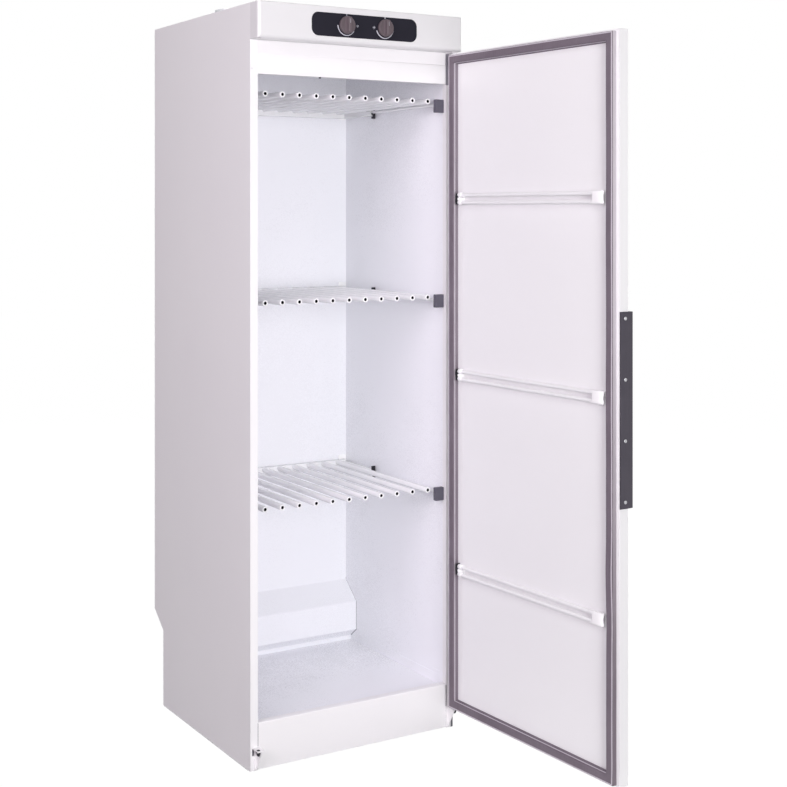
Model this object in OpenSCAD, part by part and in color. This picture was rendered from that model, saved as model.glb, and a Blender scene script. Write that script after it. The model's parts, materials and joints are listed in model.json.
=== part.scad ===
// Free-standing drying cabinet with one open door, pull-out hanging racks and swing-out door hangers.
// Origin: centre of the casing's footprint on the floor. +Z up, the front faces -Y, +X to the right.

/* [Casing] */
// Width of the casing
body_w = 595; // [560:5:640]
// Height of the casing
body_h = 1840; // [1800:5:1900]
// Depth of the casing without the door
body_d = 564; // [540:2:620]
// Thickness of the steel sheet
sheet = 1.2; // [0.8:0.1:1.6]
// Width of the front stiles beside the opening
stile_w = 21; // [19:0.5:26]
// Depth of the lip folded back from each stile
lip_d = 16; // [10:1:19]
// Width of the returns folded in at the rear edges
rear_return = 18; // [14:1:26]
// Height of the side panels' lower edge above the floor
panel_lift = 3; // [1:0.5:6]
// Depth of the skirting notch at the rear foot
notch_d = 58; // [40:1:70]
// Height of the notch's upright part
notch_low = 205; // [180:1:230]
// Height where the notch meets the rear face
notch_top = 251; // [240:1:280]
// Height of the base frame
base_h = 34; // [28:1:40]
// Width of the base frame's flange on the floor
base_flange = 30; // [24:1:40]
// Diameter over the corners of a levelling foot's nut
foot_nut_d = 20; // [16:1:26]
// Diameter of a levelling foot's stud
foot_stud_d = 10; // [8:1:12]

/* [Compartment] */
// Depth of the back wall behind the stiles
back_depth = 495; // [470:1:500]
// Depth of the stepped lower back wall
step_depth = 438.5; // [420:0.5:445]
// Height where the back wall starts to step forward
step_top = 273; // [262:1:300]
// Height of the upper end of the step's upright part
step_high = 221; // [200:1:235]
// Height of the lower end of the step's upright part
step_low = 141; // [132:1:160]
// Height of the compartment floor
floor_z = 106; // [100:1:110]
// Height of the floor tray's side flanges
tray_flange = 25; // [15:1:35]
// Height of the plinth's top edge
plinth_top = 116; // [112:1:124]
// Distance of the header panel's lower edge below the top
header_drop = 169; // [164:1:180]
// Distance of the header panel's shallow fold below the top
fold_drop = 122; // [110:1:140]
// Depth of the header panel's lower return
header_return = 20; // [18:1:30]
// Distance of the ceiling below the top
ceiling_drop = 112; // [110:1:118]

/* [Fascia] */
// Distance that the fascia and the door stand in front of the stiles
front_depth = 41; // [38:0.5:48]
// Height of the fascia
fascia_h = 88; // [80:1:92]
// Wall of the fascia moulding
fascia_wall = 2.5; // [2:0.1:3.5]
// Radius of the fascia's lower front edge
fascia_round = 9; // [6:0.5:12]
// Width of the dark control insert
insert_w = 307; // [280:1:320]
// Height of the control insert
insert_h = 57.5; // [54:0.5:62]
// Corner radius of the control insert
insert_r = 19; // [12:1:24]
// Sideways place of the control insert
insert_x = 2.5; // [-10:0.5:10]
// Distance between the two knobs
knob_gap = 112; // [100:1:130]
// Diameter of a knob
knob_d = 43.5; // [36:0.5:48]
// Thickness of a knob's disc
knob_disc = 7; // [5:0.5:9]
// Height of the grip bar above the disc
knob_grip = 11; // [8:0.5:14]
// Width of the grip bar
knob_bar = 11; // [8:0.5:14]
// Diameter of the knob shafts
shaft_d = 6; // [5:0.5:7]

/* [Racks] */
// Height of the lowest rack's tubes
rack_low_z = 617; // [600:1:640]
// Height of the middle rack's tubes
rack_mid_z = 1118; // [1090:1:1140]
// Distance of the upper rack's tubes below the top
rack_top_drop = 213; // [200:1:240]
// Number of tubes in a rack
tube_n = 11; // [7:2:11]
// Gap between the outermost tubes and the sleeves
tube_gap = 14.4; // [8:0.1:40]
// Diameter of a tube
tube_d = 15; // [12:0.5:18]
// Diameter of a tube's bore
tube_bore = 8; // [6:0.5:10]
// Distance of the tube ends behind the stiles
tube_front = 30; // [24:1:40]
// Distance that a rack pulls out
rack_travel = 270; // [230:5:290]
// Drop of the slide rails below the tubes
rail_drop = 8; // [4:0.5:12]
// Diameter of the fixed slide rails
rail_d = 8; // [6:0.5:9]
// Width of a sliding sleeve
sleeve_w = 14; // [12.5:0.5:15]
// Height of a sliding sleeve
sleeve_h = 19; // [16:0.5:22]
// Length of a sleeve's bush
bush_len = 14; // [8:1:20]
// Depth of a front rail block
block_len = 39; // [34:1:42]
// Height of a front rail block
block_h = 34; // [28:1:36]
// Width of a front rail block
block_w = 26; // [22:1:28]
// Depth of the broad part of a front rail block
block_plate = 11; // [8:1:14]
// Height of the dark collar in front of a sleeve
collar_h = 36; // [24:1:36]
// Depth of a rack's rear cross bar
bar_d = 12; // [10:0.5:12]

/* [Door] */
// Opening angle of the door as stored
door_open = 93; // [60:1:110]
// Distance of the door's edges inside the casing's sides
door_side = 2.5; // [0.5:0.5:5]
// Height of the door's lower edge
door_bottom = 62; // [58:1:68]
// Gap between the door and the fascia above it
door_gap = 5; // [5:0.5:12]
// Width of the rim folded in around the door's outer skin
door_rim = 15; // [12:1:20]
// Distance of the gasket's edge inside the door's edge
gasket_inset = 8.5; // [8:0.5:10]
// Width of the gasket
gasket_w = 24; // [20:0.5:26]
// Thickness of the gasket
gasket_t = 13.5; // [10:0.5:15]
// Distance of the hinge pins from the door's edge
pin_inset = 8; // [7.5:0.5:9]
// Distance of the hinge pins in front of the stiles
pin_ahead = 22; // [21.5:0.5:25]
// Diameter of the hinge pins
pin_d = 6; // [5:0.5:6]
// Width of a hinge bracket
bracket_w = 20; // [16:1:22]
// Width of a lower hinge bracket's upright leg
bracket_leg = 12; // [10:0.5:14]
// Plate thickness of a hinge bracket
bracket_t = 3; // [2.5:0.5:4]
// Height of the lower hinge brackets' foot above the floor
bracket_foot = 6; // [4:1:20]
// Height of the handle's lower end
handle_low = 680; // [640:5:720]
// Length of the handle
handle_len = 438; // [400:2:460]
// Thickness of the handle profile
handle_t = 4; // [3:0.5:5]
// Distance that the handle stands in front of the door
handle_ahead = 11; // [9:0.5:14]
// Width of the handle's inward lip
handle_lip = 16; // [10:1:20]
// Number of handle screws
handle_screw_n = 4; // [2:1:6]

/* [Door hangers] */
// Height of the lowest hanger
hanger_low_z = 427; // [400:1:440]
// Height of the middle hanger
hanger_mid_z = 924; // [900:1:940]
// Height of the upper hanger
hanger_top_z = 1373; // [1350:1:1400]
// Distance of a hanger's pivot from the door's hinge edge
hanger_inset = 52; // [44:1:60]
// Distance of a hanger's pivot from the door's inner panel
hanger_stand = 12; // [11:0.5:14]
// Gap between a hanger's tip and the gasket
hanger_tip_gap = 3.5; // [2:0.5:80]
// Diameter of a hanger rod
hanger_rod_d = 10; // [8:0.5:11]
// Distance between a hanger's two rods
hanger_rod_gap = 19; // [17:0.5:22]
// Diameter of a hanger's pivot pin
hanger_pin_d = 5; // [4:0.5:6]
// Length of a hanger's end grip
hanger_grip_len = 46; // [36:1:56]

/* [Drying unit] */
// Outer diameter of the exhaust duct
exhaust_d = 100; // [90:1:110]
// Distance of the exhaust duct's middle from the left side
exhaust_side = 167.5; // [140:0.5:190]
// Distance of the exhaust duct's middle from the rear face
exhaust_rear = 144; // [136:1:200]
// Height of the exhaust spigot above the top
spigot_h = 45; // [30:1:60]
// Sideways place of the blower
blower_x = 95; // [80:1:110]
// Distance of the blower's middle from the rear face
blower_rear = 184; // [110:1:190]
// Radius of the blower housing
blower_r = 85; // [80:1:90]
// Height of the blower housing
blower_h = 58; // [54:1:60]
// Diameter of the blower wheel
wheel_d = 130; // [120:1:140]
// Number of blower blades
blade_n = 24; // [16:1:32]
// Diameter of the blower motor
motor_d = 82; // [70:1:90]
// Height of the blower motor
motor_h = 38; // [34:1:40]
// Width of the heater duct
heater_w = 168; // [160:1:172]
// Length of the heater duct
heater_len = 170; // [150:1:176]
// Height of the heater duct
heater_h = 56; // [50:1:62]
// Diameter of the heating element's rod
element_d = 7; // [6:0.5:8]
// Number of passes of the heating element
element_n = 6; // [4:2:6]
// Gap between the heater duct and the blower housing
heater_gap = 3; // [1:0.5:10]
// Width of the duct from the blower to the heater
duct_w = 70; // [50:1:80]
// Distance of the mains cable's gland from the left side
gland_side = 97.5; // [60:0.5:105]

/* [Hidden] */
$fn = 48;
slack = 0.3;              // running gap between parts that move past each other
fit = 0.05;               // radial clearance of a pin in its bore
half_w = body_w / 2;
front_y = -body_d / 2;
rear_y = body_d / 2;
stile_x = half_w - stile_w;           // inner edge of a stile
wall_x = stile_x + sheet;             // inner face of a side wall
top_z = body_h - sheet;
fascia_bottom = body_h - fascia_h;
header_bottom = body_h - header_drop;
header_fold = body_h - fold_drop;
ceiling_z = body_h - ceiling_drop;
rack_top_z = body_h - rack_top_drop;
fascia_y = front_y - front_depth;     // front face of the fascia and of the closed door
insert_z = (fascia_bottom + body_h) / 2 - 0.5;
knob_x = [insert_x + 1.5 - knob_gap / 2, insert_x + 1.5 + knob_gap / 2];
insert_t = fascia_wall;
insert_flange = 5;
flange_t = 1.5;
control_y = fascia_y + insert_t + flange_t;   // front face of the timer and the selector
control_depth = front_depth - insert_t - flange_t - slack;
shaft_r = shaft_d / 2;
shaft_stop = 6;                       // solid rear end of a timer or switch body
knob_z = insert_z + 1;
knob_y = fascia_y - slack * 2;        // rear face of a knob
bar_top = knob_y - knob_disc - knob_grip;
rack_z = [rack_low_z, rack_mid_z, rack_top_z];
rail_x = wall_x - slack * 6 - sleeve_w / 2;
rail_r = rail_d / 2;
tube_pitch = 2 * (rail_x - sleeve_w / 2 - tube_gap - tube_d / 2) / (tube_n - 1);
rail_hold = 20;                       // length of rail inside a front block
bush_wall = 1.8;
back_y = front_y + back_depth;
bar_y = back_y - 3;                   // rear face of a rack's cross bar
block_y = front_y + 11;               // front face of the front rail blocks
block_end = block_y + block_len;
short_block = rail_hold + 2;           // length of the left-hand blocks, hidden behind the stile
collar_t = 5;                         // dark collar in front of a sleeve
sleeve_y = block_end + rack_travel + 15 + collar_t;   // front end of a sleeve, stops 15 mm short
half_door = half_w - door_side;
door_top = fascia_bottom - door_gap;
pin_x = half_door - pin_inset;
pin_y = front_y - pin_ahead;
pin_r = pin_d / 2;
gasket_x = half_door - gasket_inset;
gasket_low = door_bottom + 4;
gasket_high = door_top - 5;
panel_y = front_y - slack - gasket_t;   // face of the door's inner panel, door closed
skin_y = panel_y - sheet;               // inner face of the outer skin's rim
bush_r = pin_inset - sheet - 2 * fit;   // outer radius of a door bush
bush_h = 24;
washer_r = bush_r + 2;
washer_t = 2;
plate_z = door_bottom - washer_t - slack;       // top of the lower hinge plate
upper_plate = door_top + washer_t + slack;      // underside of the upper hinge plate
bracket_x = pin_x - 4;                          // middle of the right-hand brackets
handle_x = -half_door - handle_t;
screw_r = 2;
hanger_z = [hanger_low_z, hanger_mid_z, hanger_top_z];
hanger_x = half_door - hanger_inset;
hanger_len = hanger_x + gasket_x - gasket_w - hanger_tip_gap;
hanger_y = panel_y + hanger_stand;
eye_h = hanger_rod_gap - 4;
eye_r = hanger_rod_d / 2 + 2.5;
exhaust_x = -half_w + exhaust_side;
exhaust_y = rear_y - exhaust_rear;
gland_x = -half_w + gland_side;
blower_y = rear_y - blower_rear;
deck_z = ceiling_z + sheet;           // upper face of the ceiling, which carries the drying unit
heater_x = blower_x + blower_r - heater_w;
heater_y = blower_y - blower_r - heater_gap - heater_len;
thin = 1.5;

// A box given by its low and high limits along each axis.
module block(x, y, z) {
    translate([x[0], y[0], z[0]]) cube([x[1] - x[0], y[1] - y[0], z[1] - z[0]]);
}

// A cylinder along Y from y0 to y1.
module rod_y(x, z, y0, y1, r) {
    translate([x, y0, z]) rotate([-90, 0, 0]) cylinder(h = y1 - y0, r = r);
}

// A cylinder along X from x0 to x1.
module rod_x(y, z, x0, x1, r) {
    translate([x0, y, z]) rotate([0, 90, 0]) cylinder(h = x1 - x0, r = r);
}

// A profile drawn in Y and Z, drawn out along X from x0 to x1.
module along_x(x0, x1) {
    translate([x0, 0, 0]) rotate([90, 0, 90]) linear_extrude(x1 - x0) children();
}

// ---- casing ----

module notch_shape() {
    polygon([[rear_y + 1, notch_top], [rear_y - sheet, notch_top], [rear_y - notch_d, notch_low],
        [rear_y - notch_d, -1], [rear_y + 1, -1]]);
}

screw_end = 60;                       // distance of the end screws from the back panel's ends
screw_z = [for (k = [0:3]) notch_top + screw_end + k * (top_z - notch_top - 2 * screw_end) / 3];

// Right-hand side panel: outer sheet, stile with its lip, and rear return, folded from one sheet.
module side_panel() {
    difference() {
        translate([0, 0, panel_lift]) linear_extrude(top_z - panel_lift) {
            translate([half_w - sheet, front_y]) square([sheet, body_d]);
            translate([stile_x, front_y]) square([stile_w, sheet]);
            translate([stile_x, front_y]) square([sheet, lip_d]);
            translate([half_w - rear_return, rear_y - sheet]) square([rear_return, sheet]);
        }
        along_x(0, body_w) notch_shape();
        for (z = screw_z) rod_y(half_w - rear_return / 2, z, rear_y - 2 * sheet, rear_y + 1, screw_r);
    }
}

module left_side_panel() {
    color("white") difference() {
        mirror([1, 0, 0]) side_panel();
        // oval slot for fastening the spare hinge bracket
        for (z = [41, 53]) rod_y(-half_w + 8, z, front_y - 1, front_y + sheet + 1, 2.5);
        block([-half_w + 5.5, -half_w + 10.5], [front_y - 1, front_y + sheet + 1], [41, 53]);
    }
}

module right_side_panel() {
    color("white") side_panel();
}

module back_panel() {
    color("gainsboro") difference() {
        block([-half_w + sheet, half_w - sheet], [rear_y - 2 * sheet, rear_y - sheet], [notch_top, top_z]);
        for (side = [-1, 1], z = screw_z)
            rod_y(side * (half_w - rear_return / 2), z, rear_y - 3 * sheet, rear_y, screw_r);
        rod_y(gland_x, gland_z, rear_y - 3 * sheet, rear_y, gland_r);
        // air intake louvres behind the blower
        for (k = [0:7]) block([blower_x - 50, blower_x + 50], [rear_y - 3 * sheet, rear_y],
            [deck_z + 24 + k * 10, deck_z + 28 + k * 10]);
    }
}

module lower_back_panel() {
    t = sheet * 1.3;
    color("gainsboro") along_x(-half_w + sheet, half_w - sheet) polygon([
        [rear_y - sheet, notch_top], [rear_y - notch_d, notch_low], [rear_y - notch_d, base_h],
        [rear_y - notch_d - t, base_h], [rear_y - notch_d - t, notch_low],
        [rear_y - sheet - t, notch_top]]);
}

module back_screws() {
    color("silver") for (side = [-1, 1], z = screw_z) {
        x = side * (half_w - rear_return / 2);
        rod_y(x, z, rear_y - 2 * sheet - 3, rear_y + 0.5, screw_r - fit);
        rod_y(x, z, rear_y, rear_y + 2, screw_r * 2);
    }
}

module top_panel() {
    color("white") difference() {
        block([-half_w, half_w], [front_y, rear_y], [top_z, body_h]);
        translate([exhaust_x, exhaust_y, top_z - 1]) cylinder(h = sheet + 2, r = exhaust_d / 2);
    }
}

// Header panel: the flat sealing face above the opening, with a fold and a return up to the ceiling.
module header_panel() {
    color("white") along_x(-stile_x, stile_x) polygon([
        [front_y, header_bottom], [front_y, header_fold], [front_y + 1, header_fold + 2],
        [front_y + 1, top_z], [front_y + 1 + sheet, top_z], [front_y + 1 + sheet, header_fold],
        [front_y + sheet, header_fold - 2], [front_y + sheet, header_bottom + sheet],
        [front_y + header_return - sheet, header_bottom + sheet],
        [front_y + header_return - sheet, ceiling_z], [front_y + header_return, ceiling_z],
        [front_y + header_return, header_bottom]]);
}

module plinth() {
    roll = 3;
    color("whitesmoke") along_x(-stile_x + 0.6, stile_x - 0.6) {
        difference() {
            union() {
                translate([front_y, panel_lift + 2])
                    square([sheet, plinth_top - panel_lift - 2 - roll]);
                translate([front_y + roll, plinth_top - roll]) circle(r = roll);
                translate([front_y + roll, plinth_top - sheet]) square([header_return - roll, sheet]);
            }
            translate([front_y + roll, plinth_top - roll]) circle(r = roll - sheet);
            translate([front_y + sheet, plinth_top - 2 * roll]) square([roll * 2, 2 * roll - sheet]);
        }
        translate([front_y, panel_lift + 2]) square([lip_d, sheet]);
    }
}

base_front = front_y + lip_d;
base_rear = rear_y - notch_d - sheet * 1.3;
base_x = half_w - sheet;

// Base frame: a ring of angle section that stands on the floor.
module base_frame() {
    color("silver") difference() {
        block([-base_x, base_x], [base_front, base_rear], [0, base_h]);
        block([-base_x + sheet * 2, base_x - sheet * 2],
            [base_front + sheet * 2, base_rear - sheet * 2], [sheet * 2, base_h + 1]);
        block([-base_x + base_flange, base_x - base_flange],
            [base_front + base_flange, base_rear - base_flange], [-1, base_h]);
        for (p = foot_places)
            translate([p[0], p[1], -1]) cylinder(h = base_h, r = foot_stud_d / 2 + fit);
    }
}

foot_places = [for (x = [-1, 1], y = [base_front, base_rear])
    [x * (base_x - base_flange / 2), y + (y < 0 ? 1 : -1) * base_flange / 2]];

// Levelling feet, screwed up until their ends are level with the base frame's flange.
module levelling_feet() {
    color("dimgray") for (p = foot_places) translate([p[0], p[1], 0]) {
        cylinder(h = base_h - 8, r = foot_stud_d / 2);
        translate([0, 0, sheet * 2]) cylinder(h = 6, r = foot_nut_d / 2, $fn = 6);
    }
}

// ---- compartment ----

module inner_wall() {
    block([wall_x, wall_x + sheet], [front_y + sheet, back_y + sheet], [base_h, ceiling_z]);
}

module inner_left_wall() {
    color("lavender") mirror([1, 0, 0]) inner_wall();
}

module inner_right_wall() {
    color("lavender") inner_wall();
}

low_y = front_y + step_depth;         // upright part of the step in the back wall
tray_rear = low_y + 29;
tray_foot = floor_z + 10;             // top of the tray's rear flange

module inner_back_wall() {
    path = [[back_y, ceiling_z], [back_y, step_top], [low_y, step_high], [low_y, step_low],
        [tray_rear, tray_foot + 1.5], [tray_rear, floor_z]];
    color("ghostwhite") along_x(-wall_x, wall_x)
        polygon(concat(path, [for (k = [5:-1:0]) path[k] + [sheet, 0]]));
}

// Floor tray with upturned flanges at the sides and the back, resting on the plinth's return.
module floor_tray() {
    front = front_y + header_return;
    flange_z = floor_z + tray_flange;
    side = wall_x - sheet;
    color("ghostwhite") difference() {
        union() {
            block([-wall_x, wall_x], [front, tray_rear], [floor_z - sheet, flange_z]);
            block([-stile_x + 0.6, stile_x - 0.6], [front - 10, front],
                [plinth_top - 3 * sheet, plinth_top - sheet]);
        }
        block([-side, side], [front + sheet, tray_rear - sheet], [floor_z, flange_z + 1]);
        block([-wall_x - 1, wall_x + 1], [front - 20, front + sheet + 0.01],
            [plinth_top - sheet, flange_z + 1]);
        // the flanges stay below the back wall's step
        block([-wall_x - 1, wall_x + 1], [low_y - 16, tray_rear + 1], [tray_foot, flange_z + 1]);
    }
}

module ceiling_panel() {
    color("ghostwhite") difference() {
        block([-wall_x - sheet, wall_x + sheet], [front_y + header_return - sheet, rear_y - 2 * sheet],
            [ceiling_z, deck_z]);
        translate([exhaust_x, exhaust_y, ceiling_z - 1]) cylinder(h = sheet + 2, r = exhaust_d / 2 - thin);
        // warm air outlet slots under the heater
        for (k = [0:7]) block([heater_x + 14, heater_x + heater_w - 14],
            [heater_y + 16 + k * 18, heater_y + 24 + k * 18], [ceiling_z - 1, deck_z + 1]);
    }
}

// ---- fascia and controls ----

module fascia_outline(inset) {
    r = fascia_round - inset;
    y0 = fascia_y + inset;
    z0 = fascia_bottom + inset;
    translate([y0 + r, z0 + r]) circle(r = r);
    translate([y0, z0 + r]) square([front_y - y0 + (inset > 0 ? 1 : 0), body_h - z0 - r - inset]);
    translate([y0 + r, z0]) square([front_y - y0 - r + (inset > 0 ? 1 : 0), r + 1]);
}

module rounded_plate(w, h, r, y0, y1) {
    translate([insert_x, y0, insert_z]) rotate([-90, 0, 0]) linear_extrude(y1 - y0) {
        square([w - 2 * r, h], center = true);
        square([w, h - 2 * r], center = true);
        for (x = [-1, 1], z = [-1, 1]) translate([x * (w / 2 - r), z * (h / 2 - r)]) circle(r = r);
    }
}

module fascia() {
    color("white") difference() {
        along_x(-half_w, half_w) fascia_outline(0);
        along_x(-half_w + fascia_wall, half_w - fascia_wall) fascia_outline(fascia_wall);
        rounded_plate(insert_w + 2 * fit, insert_h + 2 * fit, insert_r,
            fascia_y - 1, fascia_y + fascia_wall + 1);
        // room for the upper hinge bracket's upright leg
        block([bracket_x - bracket_w / 2 - 1, half_w - fascia_wall],
            [front_y - bracket_t - 1, front_y + 1], [fascia_bottom - 1, fascia_bottom + fascia_wall + 1]);
    }
}

module control_insert() {
    color([0.16, 0.16, 0.2]) difference() {
        union() {
            rounded_plate(insert_w, insert_h, insert_r, fascia_y, fascia_y + insert_t);
            rounded_plate(insert_w + 2 * insert_flange, insert_h + 2 * insert_flange,
                insert_r + insert_flange, fascia_y + insert_t, control_y);
        }
        for (x = knob_x) rod_y(x, knob_z, fascia_y - 1, control_y + 1, shaft_r + fit);
    }
}

// Square body of a timer or switch with three terminals on top and a bore for its shaft.
module control_body(x, w) {
    y1 = control_y + control_depth;
    difference() {
        union() {
            block([x - w / 2, x + w / 2], [control_y, y1], [knob_z - w / 2, knob_z + w / 2]);
            for (k = [-1, 0, 1]) block([x + k * 12 - 1.5, x + k * 12 + 1.5],
                [control_y + 8, control_y + 24], [knob_z + w / 2, knob_z + w / 2 + 3]);
        }
        rod_y(x, knob_z, control_y - 1, y1 - shaft_stop, shaft_r + fit);
    }
}

module timer() {
    color("dimgray") control_body(knob_x[0], 58);
}

module mode_selector() {
    color("dimgray") control_body(knob_x[1], 44);
}

module knob(x) {
    difference() {
        union() {
            rod_y(x, knob_z, knob_y - knob_disc, knob_y, knob_d / 2);
            intersection() {
                rod_y(x, knob_z, bar_top, knob_y - knob_disc, knob_d / 2 - 1);
                block([x - knob_bar / 2, x + knob_bar / 2], [bar_top, knob_y - knob_disc],
                    [knob_z - knob_d, knob_z + knob_d]);
            }
        }
        rod_y(x, knob_z, bar_top + 4, knob_y + 1, shaft_r);
    }
}

module knob_shaft(x) {
    rod_y(x, knob_z, bar_top + 4, control_y + control_depth - shaft_stop - slack, shaft_r);
}

module timer_knob() {
    color([0.47, 0.42, 0.45]) knob(knob_x[0]);
}

module timer_shaft() {
    color("silver") knob_shaft(knob_x[0]);
}

module mode_knob() {
    color([0.47, 0.42, 0.45]) knob(knob_x[1]);
}

module mode_shaft() {
    color("silver") knob_shaft(knob_x[1]);
}

switch_x = -99;

// Magnet switch for the door, behind the header panel's lower edge.
module door_switch() {
    color("dimgray") block([switch_x - 9, switch_x + 9],
        [front_y + sheet, front_y + header_return - sheet], [header_bottom + sheet, header_bottom + 13]);
}

// ---- hinges ----

// Upright leg, horizontal plate and tapering web of a lower bracket, drawn for the right-hand side.
module lower_bracket() {
    x0 = pin_x - bracket_leg;
    x1 = bracket_x + bracket_w / 2;
    web_x = pin_x - (bracket_leg + bracket_t) / 2;
    reach = pin_ahead + 8;
    difference() {
        union() {
            block([x0, pin_x], [front_y - bracket_t, front_y], [bracket_foot, plate_z]);
            block([x0, x1], [front_y - reach, front_y], [plate_z - bracket_t, plate_z]);
            along_x(web_x, web_x + bracket_t) polygon([[front_y - bracket_t, bracket_foot],
                [front_y - reach, plate_z - bracket_t], [front_y - bracket_t, plate_z - bracket_t]]);
        }
        translate([pin_x, pin_y, plate_z - bracket_t - 1]) cylinder(h = bracket_t + 2, r = pin_r);
    }
}

module lower_hinge_bracket() {
    color("whitesmoke") lower_bracket();
}

module spare_hinge_bracket() {
    color("whitesmoke") mirror([1, 0, 0]) lower_bracket();
}

module upper_hinge_bracket() {
    x0 = bracket_x - bracket_w / 2;
    x1 = bracket_x + bracket_w / 2;
    color("gray") difference() {
        union() {
            block([x0, x1], [front_y - pin_ahead - 8, front_y], [upper_plate, fascia_bottom]);
            block([x0, x1], [front_y - bracket_t, front_y], [upper_plate, fascia_bottom + 42]);
        }
        translate([pin_x, pin_y, upper_plate - 1]) cylinder(h = 10, r = pin_r);
    }
}

module hinge_pins() {
    color("silver") translate([pin_x, pin_y, 0]) {
        translate([0, 0, plate_z - bracket_t]) cylinder(h = bracket_t + bush_h, r = pin_r);
        translate([0, 0, door_top - bush_h + 4])
            cylinder(h = fascia_bottom - door_top + bush_h - 4, r = pin_r);
    }
}

// ---- hanging racks ----

module rack_rails() {
    color("white") for (z = rack_z, side = [-1, 1])
        rod_y(side * rail_x, z - rail_drop, block_end - rail_hold, back_y, rail_r);
}

// Block that carries a rail's front end, drawn for the right-hand side at rail height zc.
module front_rail_block(zc, length) {
    y0 = block_end - length;
    neck = sleeve_w + 2;
    difference() {
        union() {
            block([wall_x - block_w, wall_x], [y0, y0 + block_plate], [zc - block_h / 2, zc + block_h / 2]);
            block([wall_x - neck, wall_x], [y0, block_end], [zc - neck / 2, zc + neck / 2]);
        }
        rod_y(rail_x, zc, block_end - rail_hold, block_end + 1, rail_r + fit);
        // step that clears the stile's lip
        block([stile_x, wall_x + 1], [front_y, front_y + lip_d], [zc - block_h, zc + block_h]);
    }
}

module front_rail_blocks() {
    color([0.41, 0.4, 0.45]) for (z = rack_z) {
        front_rail_block(z - rail_drop, block_len);
        mirror([1, 0, 0]) front_rail_block(z - rail_drop, short_block);
    }
}

module rack_tubes(z) {
    color("white") for (k = [0:tube_n - 1]) {
        x = (k - (tube_n - 1) / 2) * tube_pitch;
        difference() {
            rod_y(x, z, front_y + tube_front, bar_y - bar_d, tube_d / 2);
            rod_y(x, z, front_y + tube_front - 1, front_y + tube_front + 60, tube_bore / 2);
        }
    }
}

// Rear cross bar with the two sleeves that slide on the fixed rails.
module rack_frame(z) {
    zc = z - rail_drop;
    color("white") difference() {
        union() {
            block([-rail_x, rail_x], [bar_y - bar_d, bar_y], [zc - sleeve_h / 2, z + tube_d / 2 - 1]);
            for (side = [-1, 1])
                block([side * rail_x - sleeve_w / 2, side * rail_x + sleeve_w / 2],
                    [sleeve_y, bar_y], [zc - sleeve_h / 2, zc + sleeve_h / 2]);
        }
        for (side = [-1, 1]) {
            rod_y(side * rail_x, zc, sleeve_y - 1, bar_y + 1, rail_r + 1);
            rod_y(side * rail_x, zc, sleeve_y - 1, sleeve_y + bush_len, rail_r + bush_wall);
            rod_y(side * rail_x, zc, bar_y - bush_len, bar_y + 1, rail_r + bush_wall);
        }
    }
}

// Sliding bushes in both ends of each sleeve; the front ones show as dark collars.
module rack_bushes(z) {
    zc = z - rail_drop;
    color([0.3, 0.3, 0.33]) for (side = [-1, 1]) {
        x = side * rail_x;
        difference() {
            union() {
                rod_y(x, zc, sleeve_y, sleeve_y + bush_len, rail_r + bush_wall);
                block([x - sleeve_w / 2, x + sleeve_w / 2], [sleeve_y - collar_t, sleeve_y],
                    [zc - collar_h / 2, zc + collar_h / 2]);
            }
            rod_y(x, zc, sleeve_y - collar_t - 1, bar_y, rail_r + fit);
        }
        difference() {
            rod_y(x, zc, bar_y - bush_len, bar_y, rail_r + bush_wall);
            rod_y(x, zc, bar_y - bush_len - 1, bar_y + 1, rail_r + fit);
        }
    }
}

// ---- drying unit above the ceiling ----

module exhaust_duct() {
    r = exhaust_d / 2;
    color("lightgray") translate([exhaust_x, exhaust_y, 0]) difference() {
        union() {
            translate([0, 0, deck_z]) cylinder(h = body_h + spigot_h - deck_z, r = r);
            translate([0, 0, deck_z]) cylinder(h = 2, r = r + 12);
            translate([0, 0, body_h]) cylinder(h = 2, r = r + 8);
        }
        translate([0, 0, deck_z - 1]) cylinder(h = body_h, r = r - thin);
    }
}

blower_low = deck_z;

module blower_housing() {
    z1 = blower_low + blower_h;
    color("silver") difference() {
        union() {
            translate([blower_x, blower_y, blower_low]) cylinder(h = blower_h, r = blower_r);
            block([blower_x + blower_r - duct_w, blower_x + blower_r], [heater_y + heater_len, blower_y],
                [blower_low, z1]);
        }
        translate([blower_x, blower_y, blower_low + thin])
            cylinder(h = blower_h - 2 * thin, r = blower_r - thin);
        block([blower_x + blower_r - duct_w + thin, blower_x + blower_r - thin],
            [heater_y + heater_len - 1, blower_y], [blower_low + thin, z1 - thin]);
        // air inlet round the motor
        for (k = [0:5]) rotate_about(blower_x, blower_y, k * 60)
            translate([blower_x + motor_d / 2 + 10, blower_y, z1 - thin - 1]) cylinder(h = 4, r = 7);
        translate([blower_x, blower_y, z1 - thin - 1]) cylinder(h = 4, r = 9);
    }
}

module rotate_about(x, y, a) {
    translate([x, y, 0]) rotate([0, 0, a]) translate([-x, -y, 0]) children();
}

module blower_motor() {
    z0 = blower_low + blower_h;
    color("gray") translate([blower_x, blower_y, z0]) difference() {
        union() {
            cylinder(h = motor_h, r = motor_d / 2);
            cylinder(h = 3, r = motor_d / 2 + 1.5);
            translate([0, 0, motor_h]) cylinder(h = 6, r = 14);
        }
        translate([0, 0, -1]) cylinder(h = motor_h - 4, r = 4 + fit);
    }
}

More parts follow.
